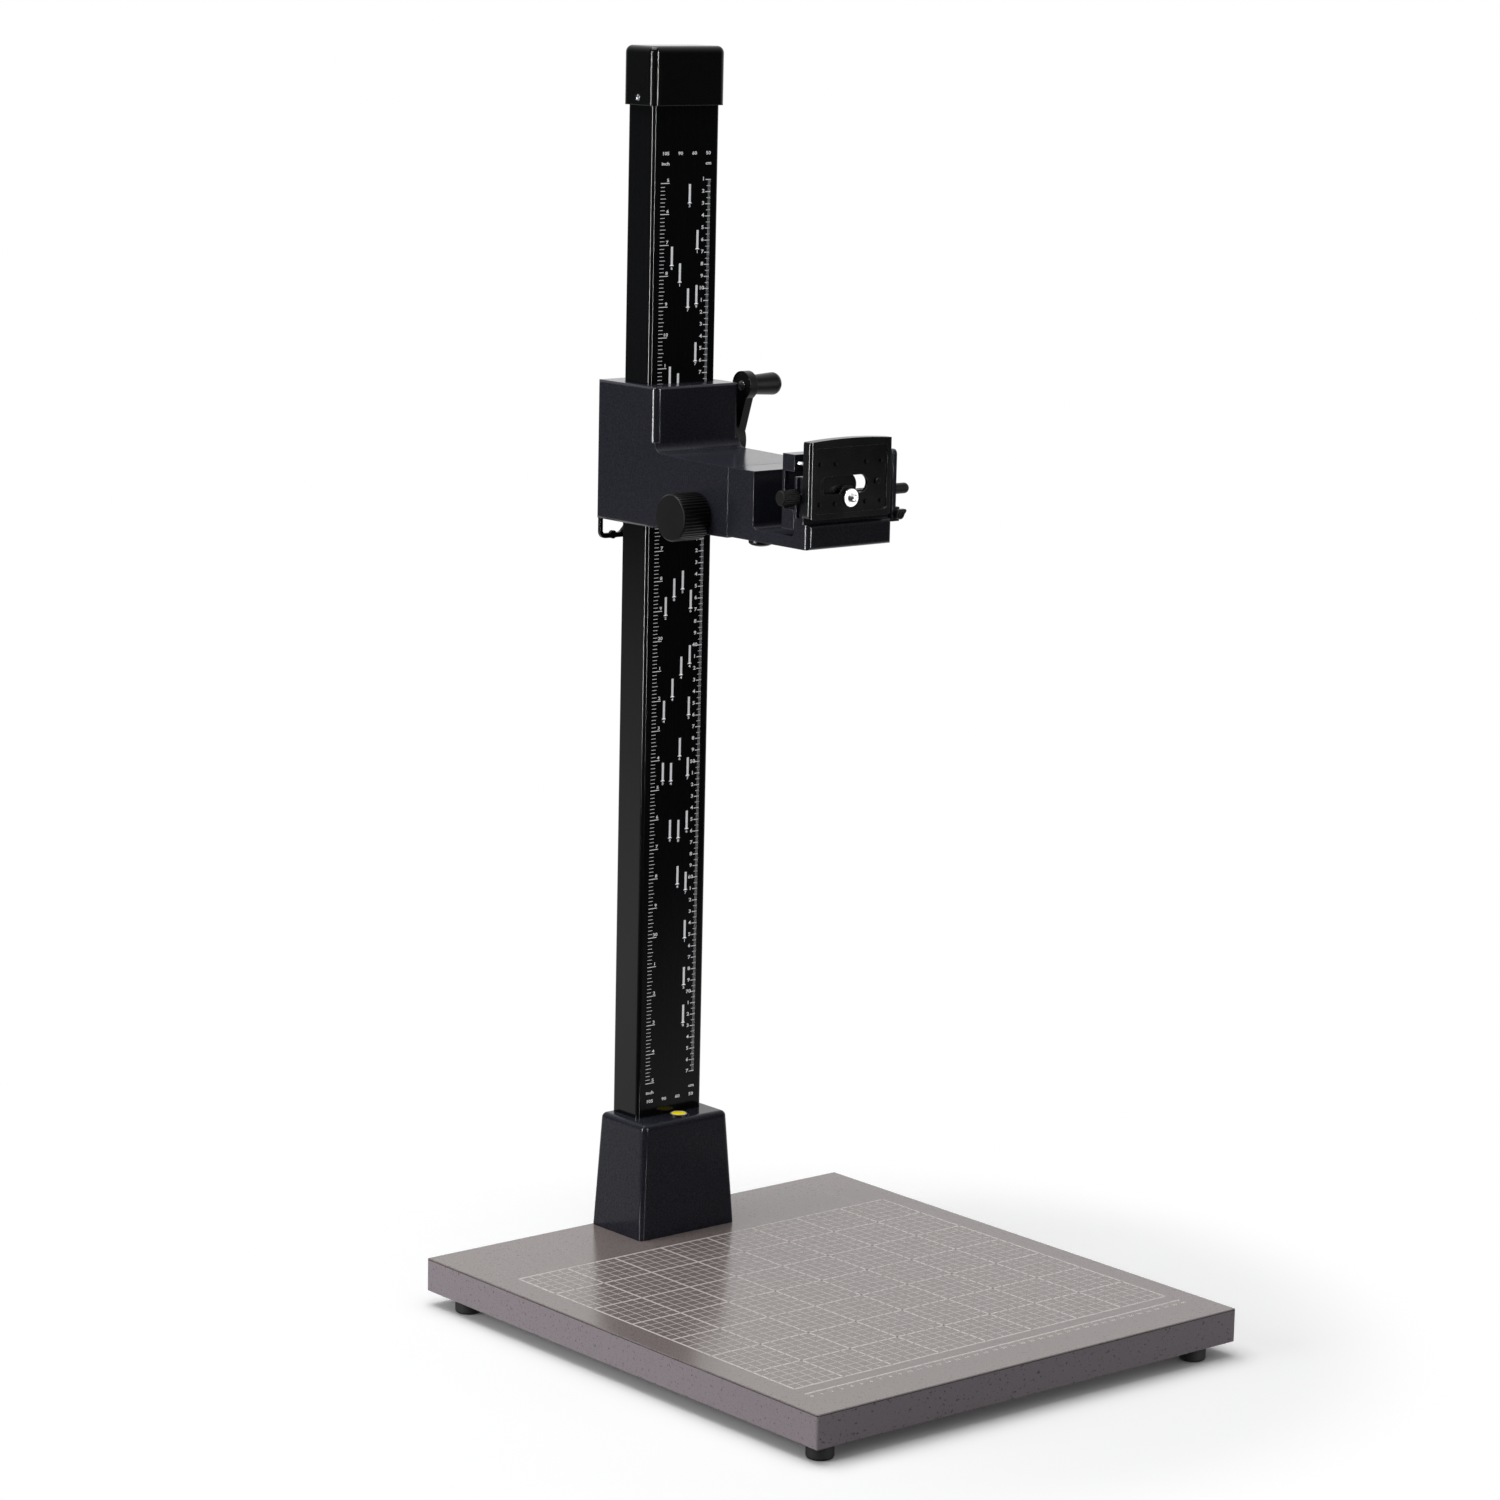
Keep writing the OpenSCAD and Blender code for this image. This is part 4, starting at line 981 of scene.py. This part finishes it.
@dataclass
class CameraStud:
    """Quarter-inch camera screw in millimetres: a smooth shank, a threaded stud and a slot in its end."""
    pitch: float = 1.27
    root_share: float = 0.82
    shank_share: float = 3 / 3.175
    flank: float = 2.4
    lead_in: float = 0.7
    levels_per_turn: int = 8
    steps: int = 32
    dome: float = 1.3
    dome_share: float = 0.85
    washer_gap: float = 0.02
    slot_share: float = 2.2
    slot_deep: float = 1.2

    def dress(self, fitter: Fitter) -> None:
        """Makes the screw in the place of the plain one.

        Args:
            fitter: It makes the piece.
        """
        low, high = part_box("camera_screw")
        middle = (Vector(low) + Vector(high)) / 2
        radius = (high[0] - low[0]) / 2
        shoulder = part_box("camera_washer")[0][1] - self.washer_gap * MM
        rows = int((shoulder - low[1]) / (self.pitch * MM / self.levels_per_turn))
        levels = [low[1] + (shoulder - low[1]) * i / rows for i in range(rows + 1)]
        profile = [(y, self.radii(y, (y - low[1]) / MM, radius)) for y in levels]
        profile += [(y, [radius * self.shank_share] * self.steps) for y in (shoulder, high[1])]
        mesh = bmesh.new()
        rings = [circle(mesh, (middle.x, y, middle.z), (0, 2), radii) for y, radii in profile]
        bridge(mesh, *rings)
        mesh.faces.new(rings[0])
        mesh.faces.new(rings[-1][::-1])
        tools = bmesh.new()
        cutter = ScrewHeads("camera_screw", (0, -1, 0), Drive.SLOT, across=radius * self.slot_share / MM,
                            deep=self.slot_deep)
        cutter.tool(tools, Vector((middle.x, low[1], middle.z)), Vector(cutter.toward))
        fitter.fit("camera_screw_threaded", carved(mesh, tools), "camera_screw")

    def radii(self, y: float, depth: float, radius: float) -> list[float]:
        """The thread's radii round the screw at one level.

        Args:
            y: Place of the level in metres.
            depth: Millimetres behind the stud's end.
            radius: The stud's radius in metres.

        Returns:
            One radius for each step.
        """
        lead = min(1.0, max(0.0, (depth - self.dome) / self.lead_in))
        end = math.sqrt(1 - (1 - depth / self.dome) ** 2 * self.dome_share) if depth < self.dome else 1.0
        made = []
        for i in range(self.steps):
            phase = (y / (self.pitch * MM) + i / self.steps) % 1
            tooth = min(1.0, self.flank * abs(phase - 0.5))
            made.append(radius * (self.root_share + (1 - self.root_share) * (1 - tooth) * lead) * end)
        return made


@dataclass
class LevelRing:
    """White ring inside the rim of the round level, a painted highlight at the rim; shares are of its
    radius, heights in metres.
    """
    inner: float = 0.88
    outer: float = 0.98
    bevel: float = 0.04
    dome: float = 0.0008
    lifts: tuple[float, float, float, float] = (0.0002, 0.0004, 0.0001, -0.0004)
    steps: int = 48
    # The ring's white is a painted highlight at the level's rim.
    paint: Ink = Ink("level_rim_painted_highlight", srgb(228, 228, 224))

    def dress(self) -> None:
        """Lays the ring on the level's lens."""
        low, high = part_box("level_vial")
        middle = (Vector(low) + Vector(high)) / 2
        radius = (high[0] - low[0]) / 2
        inside, crest, outside, foot = self.lifts
        mesh = bmesh.new()
        rings = []
        for share, lift in ((self.inner, inside), (self.inner + self.bevel, crest),
                            (self.outer - self.bevel, crest), (self.outer, outside),
                            (self.outer, foot), (self.inner, foot)):
            top = min(high[2], high[2] - self.dome + self.dome * (1 - share * share) + lift)
            rings.append(circle(mesh, (middle.x, middle.y, top), (0, 1), [radius * share] * self.steps))
        bridge(mesh, *rings, rings[0])
        piece("level_ring", mesh, self.paint.build(), "stand")


@dataclass
class PhotoCamera:
    """The camera at the photograph's angle."""
    place: Point = (-2.3570, -2.6972, 1.1444)
    yaw: float = 40.083
    pitch: float = 10.443
    roll: float = 1.207
    lens: float = 108.09
    film: float = 36.0
    far: float = 100.0

    def build(self) -> None:
        """Makes the camera and sets it as the scene's."""
        yaw, pitch, roll = (math.radians(v) for v in (self.yaw, self.pitch, self.roll))
        ahead = Vector((math.sin(yaw) * math.cos(pitch), math.cos(yaw) * math.cos(pitch), -math.sin(pitch)))
        right = Vector((math.cos(yaw), -math.sin(yaw), 0))
        up = right.cross(ahead)
        across = math.cos(roll) * right + math.sin(roll) * up
        above = -math.sin(roll) * right + math.cos(roll) * up
        data = bpy.data.cameras.new("photo_camera")
        data.lens = self.lens
        data.sensor_width = self.film
        data.sensor_fit = "HORIZONTAL"
        data.clip_end = self.far
        camera = linked("photo_camera", data)
        turn = Matrix((across, above, -ahead)).transposed()
        camera.matrix_world = Matrix.Translation(self.place) @ turn.to_4x4()
        bpy.context.scene.camera = camera
        LOG.info("camera at %s", self.place)


@dataclass(frozen=True)
class Lamp:
    """A flat lamp that looks at a point; wide and high are its sizes in metres."""
    name: str
    place: Point
    aim: Point
    wide: float
    high: float
    power: float
    on_gloss: bool = True
    on_matt: bool = True

    def build(self) -> None:
        """Makes the lamp."""
        data = bpy.data.lights.new(self.name, "AREA")
        data.shape = "RECTANGLE"
        data.size = self.wide
        data.size_y = self.high
        data.energy = self.power
        lamp = linked(self.name, data)
        lamp.location = self.place
        lamp.rotation_euler = (Vector(self.aim) - Vector(self.place)).to_track_quat("-Z", "Y").to_euler()
        lamp.visible_glossy = self.on_gloss
        lamp.visible_diffuse = self.on_matt
        LOG.info("lamp %s", self.name)


@dataclass
class Studio:
    """Pale floor, white surroundings, soft boxes and two narrow strips that draw the edges."""
    floor_half: float = 12.0
    fade_near: float = 0.38
    fade_far: float = 0.52
    paper: float = 0.9
    glow: float = 0.27
    # Reach and samples of the painted contact shadow under the object.
    contact: float = 0.035
    contact_samples: int = 12
    bounce: float = 0.3
    gloss_low: float = 0.02
    gloss_high: float = 1.0
    gloss_edge: float = 0.06
    gloss_near: float = 0.5
    gloss_far: float = 5.0
    behind: Point = (0.55, 0.8, 0.0)
    behind_span: tuple[float, float] = (-0.3, 0.5)
    backdrop: Point = (0.77, 0.64, 0.1)
    backdrop_span: tuple[float, float] = (0.0, 0.8)
    sky: Colour = (0.94, 0.96, 1.0)
    sky_power: float = 0.14
    lamps: tuple[Lamp, ...] = (
        Lamp("soft_box_top", (-0.3, 0.5, 3.2), (0.0, 0.0, 0.3), 2.4, 2.4, 72.0),
        Lamp("soft_box_left", (-3.6, 0.9, 1.6), (0.0, 0.0, 0.5), 1.8, 1.8, 37.0, on_gloss=False),
        Lamp("strip_left", (-2.5, 0.50, 1.1), (0.0, 0.1, 0.9), 0.22, 2.2, 150.0, on_matt=False),
        Lamp("strip_front", (0.62, -2.35, 1.1), (0.0, 0.1, 0.9), 0.14, 2.2, 100.0, on_matt=False),
    )

    def build(self) -> None:
        """Makes the floor, the surroundings and the lamps."""
        self.floor()
        self.surroundings()
        for lamp in self.lamps:
            lamp.build()
        bpy.context.scene.view_settings.view_transform = "Standard"

    def floor(self) -> None:
        """A plain pale floor that keeps the shadow; its mirror image is dark in front and pale behind."""
        mesh = bmesh.new()
        bmesh.ops.create_grid(mesh, x_segments=1, y_segments=1, size=self.floor_half)
        data = bpy.data.meshes.new("studio_floor")
        mesh.to_mesh(data)
        mesh.free()
        ground = linked("studio_floor", data)
        graph = Graph(bpy.data.materials.new("floor_paper"))
        place = graph.node("ShaderNodeNewGeometry").outputs["Position"]
        reach = graph.node("ShaderNodeVectorMath", {0: place}, operation="LENGTH").outputs["Value"]
        far = graph.node("ShaderNodeMapRange", {
            "Value": reach, "From Min": self.fade_near, "From Max": self.fade_far},
            interpolation_type="SMOOTHSTEP").outputs["Result"]
        seen = graph.either(far, self.lit(graph), graph.glowing(1.0))
        depth = graph.node("ShaderNodeVectorMath", {0: place, 1: self.behind}, operation="DOT_PRODUCT")
        side = graph.span(depth.outputs["Value"], *self.behind_span, (0, 1))
        fall = graph.span(reach, self.gloss_near, self.gloss_far, (self.gloss_high, self.gloss_edge))
        back = graph.node("ShaderNodeMath", {0: side, 1: fall, 2: self.gloss_low}, operation="MULTIPLY_ADD")
        mirrored = graph.glowing(back.outputs[0])
        rays = graph.node("ShaderNodeLightPath").outputs
        dull = graph.node("ShaderNodeBsdfDiffuse", {"Color": (self.bounce,) * 3}).outputs[0]
        other = graph.either(rays["Is Glossy Ray"], dull, mirrored)
        data.materials.append(graph.surface(graph.either(rays["Is Camera Ray"], other, seen)))
        LOG.info("floor %.0f m wide", 2 * self.floor_half)

    def lit(self, graph: Graph) -> Socket:
        """Paper that is lit by the lamps and glows a little; the glow fades out close under the object, a
        painted contact shadow.

        Args:
            graph: The floor's nodes.

        Returns:
            The shader.
        """
        paper = graph.node("ShaderNodeBsdfDiffuse", {"Color": (self.paper,) * 3}).outputs[0]
        # Ambient occlusion takes the glow away under the object: a painted contact shadow.
        free = graph.node("ShaderNodeAmbientOcclusion", {"Distance": self.contact},
                          samples=self.contact_samples).outputs["AO"]
        own = graph.glowing(graph.times(free, self.glow))
        return graph.node("ShaderNodeAddShader", {0: paper, 1: own}).outputs[0]

    def surroundings(self) -> None:
        """White surroundings for the camera, dimmer and uneven ones for the light on the object."""
        world = bpy.data.worlds.new("studio")
        bpy.context.scene.world = world
        graph = Graph(world)
        place = graph.node("ShaderNodeTexCoord").outputs["Generated"]
        towards = graph.node("ShaderNodeVectorMath", {0: place, 1: self.backdrop}, operation="DOT_PRODUCT")
        behind = graph.span(towards.outputs["Value"], *self.backdrop_span, (self.gloss_low, self.gloss_high))
        dim, gloss, back = (
            graph.node("ShaderNodeBackground", {"Color": colour, "Strength": strength}).outputs[0]
            for colour, strength in ((self.sky, self.sky_power), ((1, 1, 1), behind), ((1, 1, 1), 1.0)))
        rays = graph.node("ShaderNodeLightPath").outputs
        lighting = graph.either(rays["Is Glossy Ray"], dim, gloss)
        graph.surface(graph.either(rays["Is Camera Ray"], lighting, back))
        LOG.info("surroundings set")


def screws() -> tuple[ScrewHeads, ...]:
    """The screws whose heads have a recess.

    Returns:
        One row for each node of screws.
    """
    return (
        ScrewHeads("cap_screws", (1, 0, 0), Drive.HEX, across=2.5, deep=1.6, both_ends=True),
        ScrewHeads("cover_screws", (0, 1, 0), Drive.HEX, across=3.0, deep=1.4),
        ScrewHeads("hook_screws", (0, 1, 0), Drive.CROSS, across=2.6, deep=0.9),
        ScrewHeads("crank_screw", (1, 0, 0), Drive.CROSS, across=5.4, deep=1.3),
        ScrewHeads("shaft_screw", (0, 1, 0), Drive.HEX, across=5.0, deep=2.2),
        ScrewHeads("rail_screws", (0, -1, 0), Drive.HEX, across=2.5, deep=1.5),
        ScrewHeads("collar_screws", (0, 0, -1), Drive.HEX, across=3.0, deep=1.4),
        ScrewHeads("shoe_bolts", (0, 0, -1), Drive.HEX, across=5.0, deep=3.0),
        ScrewHeads("column_bolts", (0, 0, -1), Drive.HEX, across=4.0, deep=2.6),
        ScrewHeads("foot_screws", (0, 0, -1), Drive.CROSS, across=4.6, deep=1.4),
        ScrewHeads("plate_bolts", (0, 1, 0), Drive.HEX, across=3.0, deep=1.4),
    )


def main() -> None:
    """Builds the scene piece by piece."""
    logging.basicConfig(level=logging.INFO, format="%(name)s: %(message)s")
    palette = Palette()
    palette.dress_nodes()
    PhotoCamera().build()
    Studio().build()
    slot_of = {row["node"]: row["material_slot"] for row in frame["record"]["subparts"]}
    bodies = frame["record"]["behaviour"]["bodies"]
    body_of = {node: body for body, nodes in bodies.items() for node in nodes}
    fitter = Fitter(palette, slot_of, body_of)
    for heads in screws():
        heads.dress(fitter)
    CameraStud().dress(fitter)
    LevelRing().dress()
    ColumnScale().dress()
    BoardGrid().dress()


if __name__ == "__main__":
    main()
